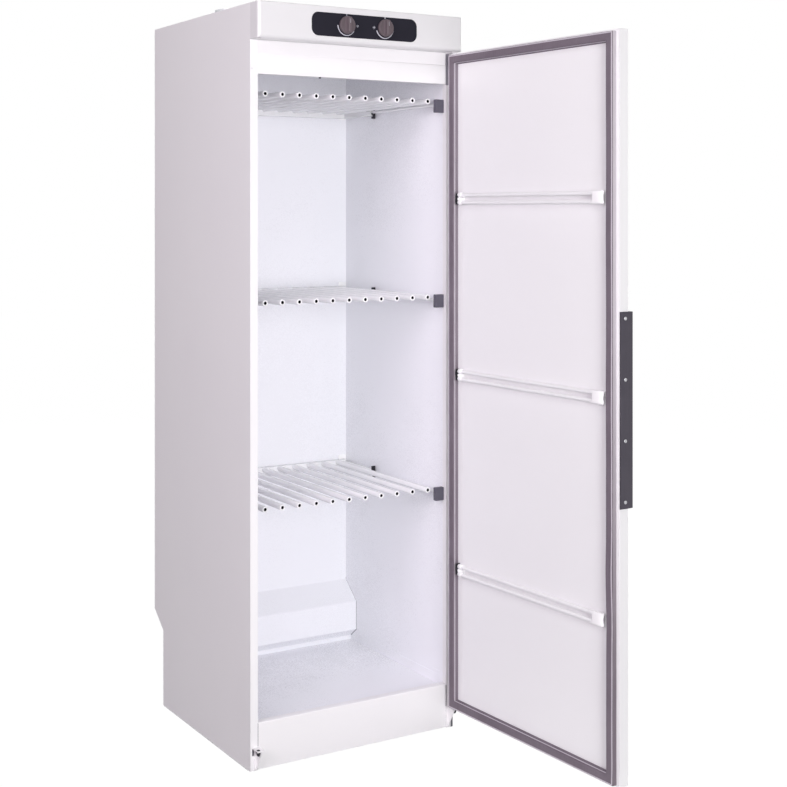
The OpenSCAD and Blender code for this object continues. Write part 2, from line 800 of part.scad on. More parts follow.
// Radial blower wheel: a back plate with a ring of blades, a shroud ring, a hub and its shaft.
module blower_wheel() {
    r = wheel_d / 2;
    z0 = blower_low + thin + 5;
    h = blower_h - 2 * thin - 12;
    hub_r = 9;
    blade_l = 15;
    ring_t = 3;
    color("dimgray") translate([blower_x, blower_y, 0]) {
        translate([0, 0, z0]) cylinder(h = 2, r = r);
        translate([0, 0, z0]) cylinder(h = h, r = hub_r);
        translate([0, 0, z0]) cylinder(h = blower_low + blower_h + motor_h - 5 - slack - z0, r = 4);
        // blades end inside the plate and inside the ring
        for (k = [0:blade_n - 1]) rotate([0, 0, k * 360 / blade_n])
            translate([r - blade_l - 3, -0.75, z0 + 1]) rotate([0, 0, 20]) cube([blade_l, 1.5, h - 2]);
        translate([0, 0, z0 + h - ring_t]) difference() {
            cylinder(h = ring_t, r = r);
            translate([0, 0, -1]) cylinder(h = ring_t + 2, r = r - blade_l);
        }
    }
}

// Heater duct, open below to the outlet slots and behind to the blower.
module heater_duct() {
    x0 = heater_x;
    x1 = heater_x + heater_w;
    y0 = heater_y;
    y1 = heater_y + heater_len;
    color("silver") difference() {
        block([x0, x1], [y0, y1], [deck_z, deck_z + heater_h]);
        block([x0 + thin, x1 - thin], [y0 + thin, y1 - thin], [deck_z - 1, deck_z + heater_h - thin]);
        block([x1 - duct_w + thin, x1 - thin], [y1 - thin - 1, y1 + 1],
            [deck_z + thin, deck_z + heater_h - thin]);
        for (y = element_ends) rod_x(y, element_z, x0 - 1, x0 + thin + 1, element_d / 2);
    }
}

element_pitch = (heater_len - 50) / (element_n - 1);
element_z = deck_z + heater_h / 2;
element_ys = [for (k = [0:element_n - 1]) heater_y + 20 + k * element_pitch];
element_ends = [element_ys[0], element_ys[element_n - 1]];

// Sheathed heating element: straight passes joined by half-round bends.
module heating_element() {
    r = element_d / 2;
    bend = element_pitch / 2;
    xl = heater_x + 22 + bend;
    xr = heater_x + heater_w - 22 - bend;
    color([0.35, 0.3, 0.28]) {
        for (k = [0:element_n - 1]) {
            last = k == 0 || k == element_n - 1;
            rod_x(element_ys[k], element_z, last ? heater_x - 14 : xl, xr, r);
        }
        for (k = [0:element_n - 2]) {
            right = k % 2 == 0;
            translate([right ? xr : xl, (element_ys[k] + element_ys[k + 1]) / 2, element_z])
                rotate([0, 0, right ? -90 : 90])
                    rotate_extrude(angle = 180) translate([bend, 0]) circle(r = r);
        }
    }
}

module overheat_cutout() {
    color("black") translate([heater_x + 60, heater_y + heater_len / 2, deck_z + heater_h]) {
        cylinder(h = 9, r = 8);
        translate([-12, -3, 0]) cube([24, 6, 1.5]);
    }
}

gland_z = deck_z + 60;
gland_r = 8;
gland_reach = 12;                     // from the back panel to the terminal box

module terminal_box() {
    box_h = 84;
    box_y = rear_y - 2 * sheet - gland_reach;
    color("dimgray") block([gland_x - 35, gland_x + 35], [box_y - 50, box_y], [deck_z, deck_z + box_h]);
}

module cable_gland() {
    color("black") difference() {
        union() {
            rod_y(gland_x, gland_z, rear_y - 2 * sheet - gland_reach, rear_y + 6, gland_r - fit);
            rod_y(gland_x, gland_z, rear_y - sheet, rear_y + 4, gland_r + 4);
            rod_y(gland_x, gland_z, rear_y - 2 * sheet - 5, rear_y - 2 * sheet, gland_r + 4);
        }
        rod_y(gland_x, gland_z, rear_y - 2 * sheet - 10, rear_y + 7, 4);
    }
}

// ---- door, drawn closed and turned open about its hinge pins ----

module on_door() {
    translate([pin_x, pin_y, 0]) rotate([0, 0, door_open]) translate([-pin_x, -pin_y, 0]) children();
}

handle_screw_z = [for (k = [0:handle_screw_n - 1])
    handle_low + 15 + k * (handle_len - 30) / (handle_screw_n - 1)];
handle_screw_y = front_y - front_depth + 13;

module bush_holes(r) {
    for (z = [door_bottom - 1, door_top - bush_h])
        translate([pin_x, pin_y, z]) cylinder(h = bush_h + 1, r = r);
}

module screw_holes(x1) {
    for (z = handle_screw_z) rod_x(handle_screw_y, z, handle_x - 5, x1, screw_r);
}

module door_outer_skin() {
    z = [door_bottom, door_top];
    color("white") on_door() difference() {
        block([-half_door, half_door], [fascia_y, skin_y], z);
        block([-half_door + sheet, half_door - sheet], [fascia_y + sheet, skin_y - sheet],
            [z[0] + sheet, z[1] - sheet]);
        block([-half_door + door_rim, half_door - door_rim], [fascia_y + sheet, skin_y + 1],
            [z[0] + door_rim, z[1] - door_rim]);
        bush_holes(bush_r);
        screw_holes(-half_door + 5);
    }
}

module door_core() {
    color("wheat") on_door() difference() {
        block([-half_door + sheet, half_door - sheet], [fascia_y + sheet, skin_y - sheet],
            [door_bottom + sheet, door_top - sheet]);
        bush_holes(bush_r);
        screw_holes(-half_door + 12);
    }
}

module door_inner_panel() {
    color("whitesmoke") on_door() block([-half_door + 2, half_door - 2], [skin_y, panel_y],
        [door_bottom + 2, door_top - 2]);
}

module gasket_ring(x, z0, z1, w, y0, y1) {
    difference() {
        block([-x, x], [y0, y1], [z0, z1]);
        block([-x + w, x - w], [y0 - 1, y1 + 1], [z0 + w, z1 - w]);
    }
}

// Gasket in one piece: a base strip, a narrow neck and a soft head that meets the stiles.
module door_gasket() {
    neck = 4;
    color([0.45, 0.41, 0.45]) on_door() {
        gasket_ring(gasket_x, gasket_low, gasket_high, gasket_w, panel_y, panel_y + 5);
        gasket_ring(gasket_x - neck, gasket_low + neck, gasket_high - neck, gasket_w - 2 * neck,
            panel_y, front_y - slack - 1);
        gasket_ring(gasket_x, gasket_low, gasket_high, gasket_w - 2, panel_y + 7.5, front_y - slack);
    }
}

module door_bushes() {
    color("silver") on_door() for (top = [false, true]) translate([pin_x, pin_y, 0]) difference() {
        union() {
            translate([0, 0, top ? door_top - bush_h : door_bottom]) cylinder(h = bush_h, r = bush_r);
            translate([0, 0, top ? door_top : door_bottom - washer_t]) cylinder(h = washer_t, r = washer_r);
        }
        translate([0, 0, top ? door_top - bush_h - 1 : door_bottom - washer_t - 1])
            cylinder(h = bush_h + washer_t + 2, r = pin_r + fit);
    }
}

module door_handle() {
    y_out = fascia_y - handle_ahead;
    z = [handle_low, handle_low + handle_len];
    color([0.3, 0.29, 0.33]) on_door() difference() {
        union() {
            block([handle_x, -half_door], [y_out, skin_y + 1], z);
            block([handle_x, handle_x + handle_lip], [y_out, y_out + handle_t - 1], z);
        }
        screw_holes(0);
    }
}

module handle_screws() {
    color("lightgray") on_door() for (z = handle_screw_z) {
        rod_x(handle_screw_y, z, handle_x, -half_door + 11, screw_r - fit);
        rod_x(handle_screw_y, z, handle_x - 1.6, handle_x, screw_r * 2);
    }
}

// Wall bracket of each hanger: base plate with three ears round the pivot pin.
module hanger_brackets() {
    ear_t = 3;
    plate_h = 48;
    color("white") on_door() for (z = hanger_z) difference() {
        union() {
            block([hanger_x - eye_r, hanger_x + eye_r], [panel_y, panel_y + 3], [z - plate_h / 2, z + plate_h / 2]);
            for (k = [-1, 0, 1]) {
                zc = z + k * (hanger_rod_gap / 2 + eye_h / 2 + slack + ear_t / 2);
                translate([hanger_x, hanger_y, zc - ear_t / 2]) cylinder(h = ear_t, r = eye_r);
                block([hanger_x - eye_r, hanger_x + eye_r], [panel_y, hanger_y],
                    [zc - ear_t / 2, zc + ear_t / 2]);
            }
        }
        translate([hanger_x, hanger_y, z - plate_h]) cylinder(h = 2 * plate_h, r = hanger_pin_d / 2);
    }
}

module hanger_pins() {
    h = hanger_rod_gap + eye_h + 2 * slack + 10;
    color("silver") on_door() for (z = hanger_z) translate([hanger_x, hanger_y, z - h / 2]) {
        cylinder(h = h, r = hanger_pin_d / 2);
        translate([0, 0, h]) cylinder(h = 1.5, r = hanger_pin_d / 2 + 2);
    }
}

// Two rods with an eye each round the pivot pin, joined by the notched end grip.
module door_hanger(z) {
    rod_r = hanger_rod_d / 2;
    grip_h = hanger_rod_gap + hanger_rod_d + 1;
    tip_x = hanger_x - hanger_len;
    grip_x = tip_x + hanger_grip_len;
    color("white") on_door() difference() {
        union() {
            for (zc = [z - hanger_rod_gap / 2, z + hanger_rod_gap / 2]) {
                translate([hanger_x, hanger_y, zc - eye_h / 2]) cylinder(h = eye_h, r = eye_r);
                rod_x(hanger_y, zc, grip_x - hanger_grip_len / 2, hanger_x - 4, rod_r);
            }
            block([tip_x, grip_x], [hanger_y - rod_r - 1, hanger_y + rod_r + 1],
                [z - grip_h / 2, z + grip_h / 2]);
        }
        translate([hanger_x, hanger_y, z - grip_h]) cylinder(h = 2 * grip_h, r = hanger_pin_d / 2 + fit);
        // round notch between the rods at the grip's inner end
        rod_y(grip_x, z, hanger_y - 2 * rod_r, hanger_y + 2 * rod_r, hanger_rod_gap / 2 - 0.5);
    }
}

left_side_panel();
right_side_panel();
back_panel();
lower_back_panel();
back_screws();
top_panel();
header_panel();
plinth();
base_frame();
levelling_feet();
inner_left_wall();
inner_right_wall();
inner_back_wall();
floor_tray();
ceiling_panel();
fascia();
control_insert();
timer();
mode_selector();
timer_knob();
timer_shaft();
mode_knob();
mode_shaft();
door_switch();
upper_hinge_bracket();
lower_hinge_bracket();
spare_hinge_bracket();
hinge_pins();
rack_rails();
front_rail_blocks();
rack_tubes(rack_low_z);  // low_rack_tubes
rack_frame(rack_low_z);  // low_rack_frame
rack_bushes(rack_low_z);  // low_rack_bushes
rack_tubes(rack_mid_z);  // mid_rack_tubes
rack_frame(rack_mid_z);  // mid_rack_frame
rack_bushes(rack_mid_z);  // mid_rack_bushes
rack_tubes(rack_top_z);  // top_rack_tubes
rack_frame(rack_top_z);  // top_rack_frame
rack_bushes(rack_top_z);  // top_rack_bushes
exhaust_duct();
blower_housing();
blower_motor();
blower_wheel();
heater_duct();
heating_element();
overheat_cutout();
terminal_box();
cable_gland();
door_outer_skin();
door_core();
door_inner_panel();
door_gasket();
door_bushes();
door_handle();
handle_screws();
hanger_brackets();
hanger_pins();
door_hanger(hanger_low_z);  // low_door_hanger
door_hanger(hanger_mid_z);  // mid_door_hanger
door_hanger(hanger_top_z);  // top_door_hanger
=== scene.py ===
import json
import math

import bmesh
import bpy
import numpy as np
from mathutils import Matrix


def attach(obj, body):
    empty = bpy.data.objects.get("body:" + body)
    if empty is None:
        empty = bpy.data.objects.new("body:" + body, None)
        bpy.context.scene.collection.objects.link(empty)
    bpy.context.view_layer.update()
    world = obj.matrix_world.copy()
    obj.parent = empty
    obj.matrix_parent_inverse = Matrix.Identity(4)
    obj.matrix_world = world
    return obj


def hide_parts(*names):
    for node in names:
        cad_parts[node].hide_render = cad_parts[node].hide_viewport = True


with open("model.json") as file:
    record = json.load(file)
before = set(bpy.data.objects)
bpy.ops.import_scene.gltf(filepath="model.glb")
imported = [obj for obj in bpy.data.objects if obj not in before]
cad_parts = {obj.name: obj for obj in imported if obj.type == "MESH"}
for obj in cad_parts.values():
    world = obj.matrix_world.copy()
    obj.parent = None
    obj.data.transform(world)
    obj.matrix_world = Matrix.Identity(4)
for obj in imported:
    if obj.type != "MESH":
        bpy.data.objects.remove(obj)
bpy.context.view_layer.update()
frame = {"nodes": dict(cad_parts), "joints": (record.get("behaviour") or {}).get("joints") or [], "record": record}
print("frame loaded:", len(frame["nodes"]), "nodes")

mm = 0.001
turn = 2 * math.pi
nodes = frame["nodes"]
joints = {j["name"]: j for j in frame["joints"]}


# the room: camera, lamps, floor

def addObject(name, data):
    made = bpy.data.objects.new(name, data)
    bpy.context.scene.collection.objects.link(made)
    return made


camera = {
    "place": (-1.80971, -3.15880, 1.33975),
    "heading": 0.508115,  # radians from +Y towards +X, the camera is level
    "focal": 1361.36,  # pixels
    "middle": (283.055, 211.879),  # where the level line of sight meets the picture
    "picture": 787,
}


def addCamera(c):
    data = bpy.data.cameras.new("camera")
    half = c["picture"] / 2
    data.sensor_width = 36
    data.lens = 36 * c["focal"] / c["picture"]
    data.shift_x = (half - c["middle"][0]) / c["picture"]
    data.shift_y = (c["middle"][1] - half) / c["picture"]
    data.clip_end = 50
    eye = addObject("camera", data)
    eye.location = c["place"]
    eye.rotation_euler = (math.pi / 2, 0, -c["heading"])
    bpy.context.scene.camera = eye


lamps = {  # place, target, size in metres, watts, colour
    "flash": ((-0.9, -4.4, 1.4), (0, -0.2, 1.15), 1.4, 112, (1, 0.995, 1)),
    "high": ((-1.9, -2.2, 3.6), (-0.1, -0.2, 1.4), 1.6, 27, (1, 1, 1)),
    "side": ((-3.2, -1.5, 1.9), (-0.2, -0.2, 1.35), 1.6, 51, (1, 0.88, 0.98)),
    "under": ((-0.05, -1.0, 0.01), (-0.05, -0.99, 1.0), 1.0, 0.8, (1, 1, 1)),
    "right": ((3.1, 0.9, 1.9), (0.3, -0.2, 1.0), 1.8, 34, (1, 1, 1)),
    "behind": ((1.6, 4.0, 2.6), (0, 0, 1.0), 2.6, 75, (1, 1, 1)),
}
room = {
    "ambient": 0.02, "floorHalf": 14, "floorColour": (0.36, 0.36, 0.37), "floorMix": 0.92, "floorGlow": 1.08,
}


def addLamps(table):
    for name, (place, target, size, power, colour) in table.items():
        data = bpy.data.lights.new(name, "AREA")
        data.shape = "SQUARE"
        data.size = size
        data.energy = power
        data.color = colour
        lamp = addObject(name, data)
        lamp.location = place
        aim = np.array(target) - np.array(place)
        pitch = math.pi / 2 - math.atan2(-aim[2], math.hypot(aim[0], aim[1]))
        lamp.rotation_euler = (pitch, 0, math.atan2(-aim[0], aim[1]))
        lamp.visible_camera = False


# shader wiring

class Wire:
    # one value inside a shader tree; sums, differences and products of wires add Math nodes
    def __init__(self, tree, socket):
        self.tree, self.socket = tree, socket

    def maths(self, operation, *values, clamp=False):
        step = self.tree.nodes.new("ShaderNodeMath")
        step.operation = operation
        step.use_clamp = clamp
        for socket, value in zip(step.inputs, values):
            if isinstance(value, Wire):
                self.tree.links.new(value.socket, socket)
            else:
                socket.default_value = value
        return Wire(self.tree, step.outputs[0])

    def __add__(self, other):
        return self.maths("ADD", self, other)

    __radd__ = __add__

    def __mul__(self, other):
        return self.maths("MULTIPLY", self, other)

    __rmul__ = __mul__

    def __sub__(self, other):
        return self.maths("SUBTRACT", self, other)

    def __rsub__(self, other):
        return self.maths("SUBTRACT", other, self)

    def within(self, low, high):  # 0 below low, 1 above high, straight between
        return self.maths("MULTIPLY", self - low, 1 / (high - low), clamp=True)

    def clamped(self):
        return self.maths("ADD", self, 0.0, clamp=True)


class Nodes:
    # a shader tree; node() adds a node to it and returns the node's outputs as wires
    def __init__(self, tree):
        self.tree = tree

    def node(self, kind, settings=None, sockets=None):
        made = self.tree.nodes.new(kind)
        for key, value in (settings or {}).items():
            setattr(made, key, value)
        for key, value in (sockets or {}).items():
            if isinstance(value, Wire):
                self.tree.links.new(value.socket, made.inputs[key])
            else:
                made.inputs[key].default_value = value
        return {o.name: Wire(self.tree, o) for o in made.outputs if o.enabled}

    def lookedAt(self):
        # 1 where the camera, gloss or glass looks, 0 for all other light
        path = self.node("ShaderNodeLightPath")
        return (path["Is Camera Ray"] + path["Is Glossy Ray"] + path["Is Transmission Ray"]).clamped()


class Finish(Nodes):
    # a new material; its constants stand on the shader's sockets, what varies is fed by wires
    def __init__(self, name, colour, roughness, metallic=0.0, **constants):
        self.material = bpy.data.materials.new(name)
        self.material.use_nodes = True
        super().__init__(self.material.node_tree)
        self.shader = self.tree.nodes["Principled BSDF"]
        constants.update({"Base Color": (*colour, 1), "Roughness": roughness, "Metallic": metallic})
        for key, value in constants.items():
            self.shader.inputs[key].default_value = value
        self.place = self.node("ShaderNodeTexCoord")["Object"]

    def noise(self, scale, detail=2.0, stretch=None, roughness=0.5):
        place = self.place
        if stretch:
            place = self.node("ShaderNodeMapping", None, {"Vector": place, "Scale": stretch})["Vector"]
        found = self.node("ShaderNodeTexNoise", None, {
            "Vector": place, "Scale": scale, "Detail": detail, "Roughness": roughness})
        return found.get("Fac") or found["Factor"]

    def cells(self, scale, feature="F1"):
        return self.node("ShaderNodeTexVoronoi", {"feature": feature}, {
            "Vector": self.place, "Scale": scale})

    def mixed(self, share, first, second):
        # the Mix node's colour sockets are found by their number, because they share their names
        return self.node("ShaderNodeMix", {"data_type": "RGBA"}, {
            0: share, 6: (*first, 1), 7: (*second, 1)})["Result"]

    def feed(self, socket, wire):
        self.tree.links.new(wire.socket, self.shader.inputs[socket])

    def coated(self, share, first, second, rough, height, depth, strength):
        # two colours by their share, the roughness if it varies, and a bump; gives the material
        self.feed("Base Color", self.mixed(share, first, second))
        if rough:
            self.feed("Roughness", rough)
        self.feed("Normal", self.node("ShaderNodeBump", None, {
            "Height": height, "Distance": depth, "Strength": strength})["Normal"])
        return self.material


# finishes

enamels = {  # colour, second colour in the sheen's clouds, roughness, its spread
    "white_enamel": ((0.905, 0.895, 0.905), (0.885, 0.872, 0.888), 0.33, 0.08),
    "inner_enamel": ((0.926, 0.926, 0.968), (0.910, 0.910, 0.956), 0.28, 0.08),
    "door_enamel": ((0.928, 0.922, 0.934), (0.912, 0.905, 0.918), 0.30, 0.08),
    "rod_enamel": ((0.925, 0.920, 0.932), (0.910, 0.903, 0.917), 0.34, 0.08),
    "rack_enamel": ((0.930, 0.928, 0.945), (0.910, 0.906, 0.925), 0.24, 0.08),
}
enamelGrain = {"peel": 420, "peelDepth": 0.00005, "cloud": 2.3, "speck": 2600}


def enamel(name, colour, shade, roughness, spread, grain=enamelGrain):
    # sprayed and baked enamel: slow clouds of sheen, and the fine waves of its orange peel
    made = Finish(name, colour, roughness)
    cloud = made.noise(grain["cloud"], 3.0)
    peel = made.noise(grain["peel"], 2.0)
    speck = made.noise(grain["speck"], 1.0)
    share = (cloud * 0.7 + speck * 0.3).within(0.35, 0.65)
    rough = cloud * spread + peel * 0.06 + (roughness - spread / 2 - 0.03)
    return made.coated(share, colour, shade, rough, peel * 0.8 + speck * 0.2, grain["peelDepth"], 0.35)


plastics = {  # colour, second colour, roughness, grain scale, grain depth, gloss
    "white_plastic": ((0.800, 0.792, 0.805), (0.782, 0.772, 0.788), 0.36, 1500, 0.00003, 0.5),
    "grip_white": ((0.970, 0.965, 0.975), (0.955, 0.950, 0.962), 0.34, 1500, 0.00003, 0.5),
    "anthracite_plastic": ((0.015, 0.0145, 0.022), (0.019, 0.018, 0.027), 0.38, 1700, 0.00003, 0.10),
    "knob_plastic": ((0.135, 0.106, 0.118), (0.112, 0.088, 0.100), 0.45, 1900, 0.00005, 0.25),
    "grey_plastic": ((0.120, 0.112, 0.148), (0.100, 0.095, 0.125), 0.50, 1300, 0.00009, 0.3),
    "dark_plastic": ((0.024, 0.023, 0.029), (0.034, 0.033, 0.040), 0.55, 1500, 0.00007, 0.2),
    "shade_black": ((0.006, 0.006, 0.008), (0.010, 0.010, 0.012), 0.80, 1500, 0.00005, 0.02),
    "print_grey": ((0.560, 0.560, 0.620), (0.500, 0.500, 0.560), 0.55, 2500, 0.00001, 0.4),
    "cover_grey": ((0.330, 0.320, 0.360), (0.290, 0.282, 0.320), 0.45, 1500, 0.00004, 0.4),
    # the light grey of the gasket's beads, which are painted highlights
    "highlight_bead_grey": ((0.620, 0.575, 0.630), (0.560, 0.520, 0.570), 0.45, 1500, 0.00003, 0.4),
    # the seam grey serves real sealant seams and also painted shade in gaps and under the fascia's corner
    "seam_and_shade_grey": ((0.160, 0.155, 0.180), (0.130, 0.126, 0.150), 0.60, 1500, 0.00004, 0.2),
}


def plastic(name, colour, shade, roughness, scale, depth, gloss):
    # moulded plastic: spark-eroded grain from rounded cells, and slow flow clouds
    made = Finish(name, colour, roughness, **{"Specular IOR Level": gloss})
    cell = made.cells(scale)["Distance"]
    flow = made.noise(9, 3.0, (1, 1, 2.5))
    share = (flow * 0.75 + cell * 0.35).within(0.3, 0.8)
    rough = flow * 0.12 + cell * 0.05 + (roughness - 0.08)
    return made.coated(share, colour, shade, rough, cell, depth, 0.5)


def spangled(name):
    # hot-dip galvanised sheet: zinc crystals of different grey with faint rolling lines
    made = Finish(name, (0.62, 0.63, 0.65), 0.42, 0.9)
    crystal = made.cells(85)
    tone = made.node("ShaderNodeSeparateColor", None, {"Color": crystal["Color"]})["Red"]
    rolled = made.noise(60, 2.0, (1, 14, 14))
    share = (tone * 0.7 + rolled * 0.4).within(0.1, 1.0)
    return made.coated(share, (0.50, 0.51, 0.53), (0.70, 0.71, 0.73), tone * 0.22 + rolled * 0.12 + 0.24,
                       tone * 0.6 + rolled * 0.4, 0.00004, 0.4)


steels = {  # colour, second colour, roughness, how the lines are stretched, metallic
    "screw_steel": ((0.60, 0.60, 0.62), (0.44, 0.44, 0.46), 0.34, (900, 900, 40), 0.95),
    "element_steel": ((0.200, 0.150, 0.125), (0.110, 0.085, 0.075), 0.55, (500, 90, 500), 0.6),
    "handle_aluminium": ((0.060, 0.052, 0.070), (0.044, 0.038, 0.053), 0.42, (1500, 1500, 14), 0.25),
}


def drawn(name, colour, shade, roughness, lines, metallic):
    # drawn or brushed metal: fine lines along one direction, and clouds of wear
    made = Finish(name, colour, roughness, metallic)
    line = made.noise(1.0, 4.0, lines, 0.65)
    wear = made.noise(22, 4.0)
    share = (line * 0.6 + wear * 0.5).within(0.35, 0.75)
    rough = line * 0.16 + wear * 0.18 + (roughness - 0.17)
    return made.coated(share, colour, shade, rough, line, 0.00003, 0.45)


def gasketRubber(name):
    # soft extruded rubber: streaks along the strip, a dusty bloom and a fine grain
    made = Finish(name, (0.170, 0.138, 0.172), 0.52)
    bloom = made.noise(14, 4.0)
    grain = made.noise(1400, 2.0)
    streak = made.noise(1.0, 2.0, (420, 420, 5))
    share = (bloom * 0.6 + streak * 0.4 + grain * 0.1).within(0.35, 0.75)
    return made.coated(share, (0.178, 0.145, 0.178), (0.135, 0.108, 0.135),
                       bloom * 0.2 + grain * 0.08 + 0.38, grain * 0.6 + streak * 0.4, 0.00005, 0.5)


def gasketFoot(name):
    # foot of the gasket with streaks along it; its pale colour is its own, and the fall to dark grey towards the
    # floor is painted shade
    made = Finish(name, (0.5, 0.48, 0.5), 0.45)
    height = made.node("ShaderNodeSeparateXYZ", None, {"Vector": made.place})["Z"]
    streak = made.noise(1.0, 2.0, (380, 380, 6))
    # the share follows height: painted shade that deepens towards the floor
    share = (height + streak * 0.12).within(0.34, 1.15)
    return made.coated(share, (0.165, 0.135, 0.160), (0.520, 0.480, 0.520), streak * 0.15 + 0.36,
                       streak, 0.00005, 0.4)


def foamBoard(name):
    # pressed insulation: small open cells with darker pits
    made = Finish(name, (0.72, 0.62, 0.42), 0.9)
    pit = made.cells(380, "SMOOTH_F1")["Distance"]
    cloud = made.noise(18, 3.0)
    share = (pit * 0.8 + cloud * 0.3).within(0.2, 0.8)
    return made.coated(share, (0.74, 0.65, 0.45), (0.55, 0.46, 0.30), None, pit, 0.0004, 0.7)


def blackRubber(name):
    # moulded rubber feet: a fine grain under patches of dust
    made = Finish(name, (0.022, 0.022, 0.023), 0.6)
    grain = made.noise(1600, 2.0)
    dust = made.noise(30, 4.0)
    return made.coated(dust.within(0.45, 0.75), (0.020, 0.020, 0.021), (0.045, 0.044, 0.043),
                       dust * 0.2 + grain * 0.1 + 0.42, grain, 0.00005, 0.5)


finishes = {}
for make, table in ((enamel, enamels), (plastic, plastics), (drawn, steels)):
    finishes.update({name: make(name, *spec) for name, spec in table.items()})
for name, make in (("galvanised", spangled), ("gasket_rubber", gasketRubber), ("gasket_foot", gasketFoot),
                   ("insulation", foamBoard), ("rubber_black", blackRubber)):
    finishes[name] = make(name)
print("finishes made:", len(finishes))

slots = {p["node"]: p["material_slot"] for p in frame["record"]["subparts"]}
for nodeName, nodeObject in nodes.items():
    nodeObject.data.materials.clear()
    nodeObject.data.materials.append(finishes[slots[nodeName]])


# surfaces from numpy

def quadGrid(rows, cols):
    # four corners of each cell of a rows by cols grid whose columns close on themselves
    r = np.arange(rows - 1)[:, None]
    c = np.arange(cols)[None, :]
    right = (c + 1) % cols
    return np.stack(np.broadcast_arrays(
        r * cols + c, r * cols + right, (r + 1) * cols + right, (r + 1) * cols + c), -1).reshape(-1, 4)


class Shape:
    # grids of points in mm that together make one mesh
    def __init__(self, *grids):
        self.points, self.quads, self.count = [], [], 0
        for p in grids:
            self.grid(p)

    def grid(self, p):
        rows, cols = p.shape[:2]
        self.points.append(p.reshape(-1, 3))
        self.quads.append(quadGrid(rows, cols) + self.count)
        self.count += rows * cols

    def moved(self, rule):
        self.points = [rule(p) for p in self.points]
        return self

    def mesh(self, name):
        data = bpy.data.meshes.new(name)
        points = np.concatenate(self.points) * mm
        data.from_pydata(points.tolist(), [], np.concatenate(self.quads).tolist())
        return data


def tidied(data, crease):
    # joins doubled points, drops flat faces, turns the faces outwards and marks the creases
    work = bmesh.new()
    work.from_mesh(data)
    bmesh.ops.remove_doubles(work, verts=work.verts, dist=2e-6)
    bmesh.ops.dissolve_degenerate(work, edges=work.edges, dist=1e-6)
    bmesh.ops.recalc_face_normals(work, faces=work.faces)
    work.to_mesh(data)
    work.free()
    data.polygons.foreach_set("use_smooth", np.ones(len(data.polygons), bool))
    data.set_sharp_from_angle(angle=math.radians(crease))
    data.update()
    return data


def settle(name, shape, body, slotName, *replaced, finish=None, crease=38):
    # makes a shape, or a mesh that is ready, a piece that rides on its body
    raw = isinstance(shape, Shape)
    data = tidied(shape.mesh(name), crease) if raw else shape
    data.materials.append(finishes[finish or slotName])
    piece = addObject(name, data)
    if raw:
        shade = piece.modifiers.new("shade", "WEIGHTED_NORMAL")
        shade.keep_sharp = True
    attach(piece, body)
    if replaced:
        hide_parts(*replaced)
    return piece


def closed(rows):
    # rows of one closed tube with a pole added at the middle of each end
    rows = np.asarray(rows)
    poles = [np.broadcast_to(end.mean(axis=1, keepdims=True), end.shape) for end in (rows[:1], rows[-1:])]
    return np.concatenate([poles[0], rows, poles[1]])


def ringAt(ring, x, y, z, across=1):
    # a flat outline laid square to one axis, with its own zero at (x, y, z)
    return np.insert(ring, across, 0.0, axis=1) + (x, y, z)


def stacked(ring, levels, x, y, z, across=1):
    # a closed block: the outline times f at each offset h along the axis that it is square to
    axis = np.eye(3)[across]
    return closed([ringAt(ring * f, x, y, z, across) + axis * h for h, f in levels])


def axesOf(axis):
    # two directions square to an axis, and the axis
    w = np.array(axis, float)
    u = np.array([0, 0, 1.0]) if abs(w[2]) < 0.5 else np.array([1.0, 0, 0])
    return u, np.cross(w, u), w


def lathe(profile, sides, centre, axis):
    # radius r and height h turned about an axis: centre + r cos a U + r sin a V + h W
    u, v, w = axesOf(axis)
    a = np.arange(sides) / sides * turn
    r, h = np.array(profile, float).T[:, :, None, None]
    ring = np.cos(a)[None, :, None] * u + np.sin(a)[None, :, None] * v
    return np.array(centre, float) + r * ring + h * w


def roundedRing(w, h, r, steps=6):
    # closed outline of a w by h rectangle whose corners are quarter circles of radius r
    a = np.linspace(0, turn / 4, steps)
    quarter = np.stack([np.cos(a), np.sin(a)], -1) * r
    turned = [quarter @ np.array([[math.cos(k), math.sin(k)], [-math.sin(k), math.cos(k)]])
              for k in np.arange(4) * turn / 4]
    corner = np.array([[1, 1], [-1, 1], [-1, -1], [1, -1]]) * np.array([w / 2 - r, h / 2 - r])
    return np.concatenate([t + c for t, c in zip(turned, corner)])


def arcStops(r, steps=5):
    # (inset, height) pairs of a quarter round of radius r, from its foot to its top
    a = np.linspace(0, turn / 4, steps)
    return np.stack([r * (1 - np.cos(a)), r * np.sin(a)], -1)


hinge = joints["door_hinge"]
hingeX, hingeY = hinge["pos_m"][0] / mm, hinge["pos_m"][1] / mm
doorAngle = math.radians(-hinge["range_deg"][0])


def turned(points, angle):
    # turns points about the door's hinge line
    x, y = points[..., 0] - hingeX, points[..., 1] - hingeY
    c, s = math.cos(angle), math.sin(angle)
    return np.stack([hingeX + x * c - y * s, hingeY + x * s + y * c, points[..., 2]], -1)


def onDoor(points):
    return turned(points, doorAngle)


def nodePoints(name):
    data = nodes[name].data
    co = np.zeros(len(data.vertices) * 3)
    data.vertices.foreach_get("co", co)
    return co.reshape(-1, 3) / mm


def cadSpan(name, shut=False):
    # lowest and highest corner of a CAD node in mm, for door pieces with the door shut
    p = nodePoints(name)
    if shut:
        p = turned(p, -doorAngle)
    return p.min(0), p.max(0)


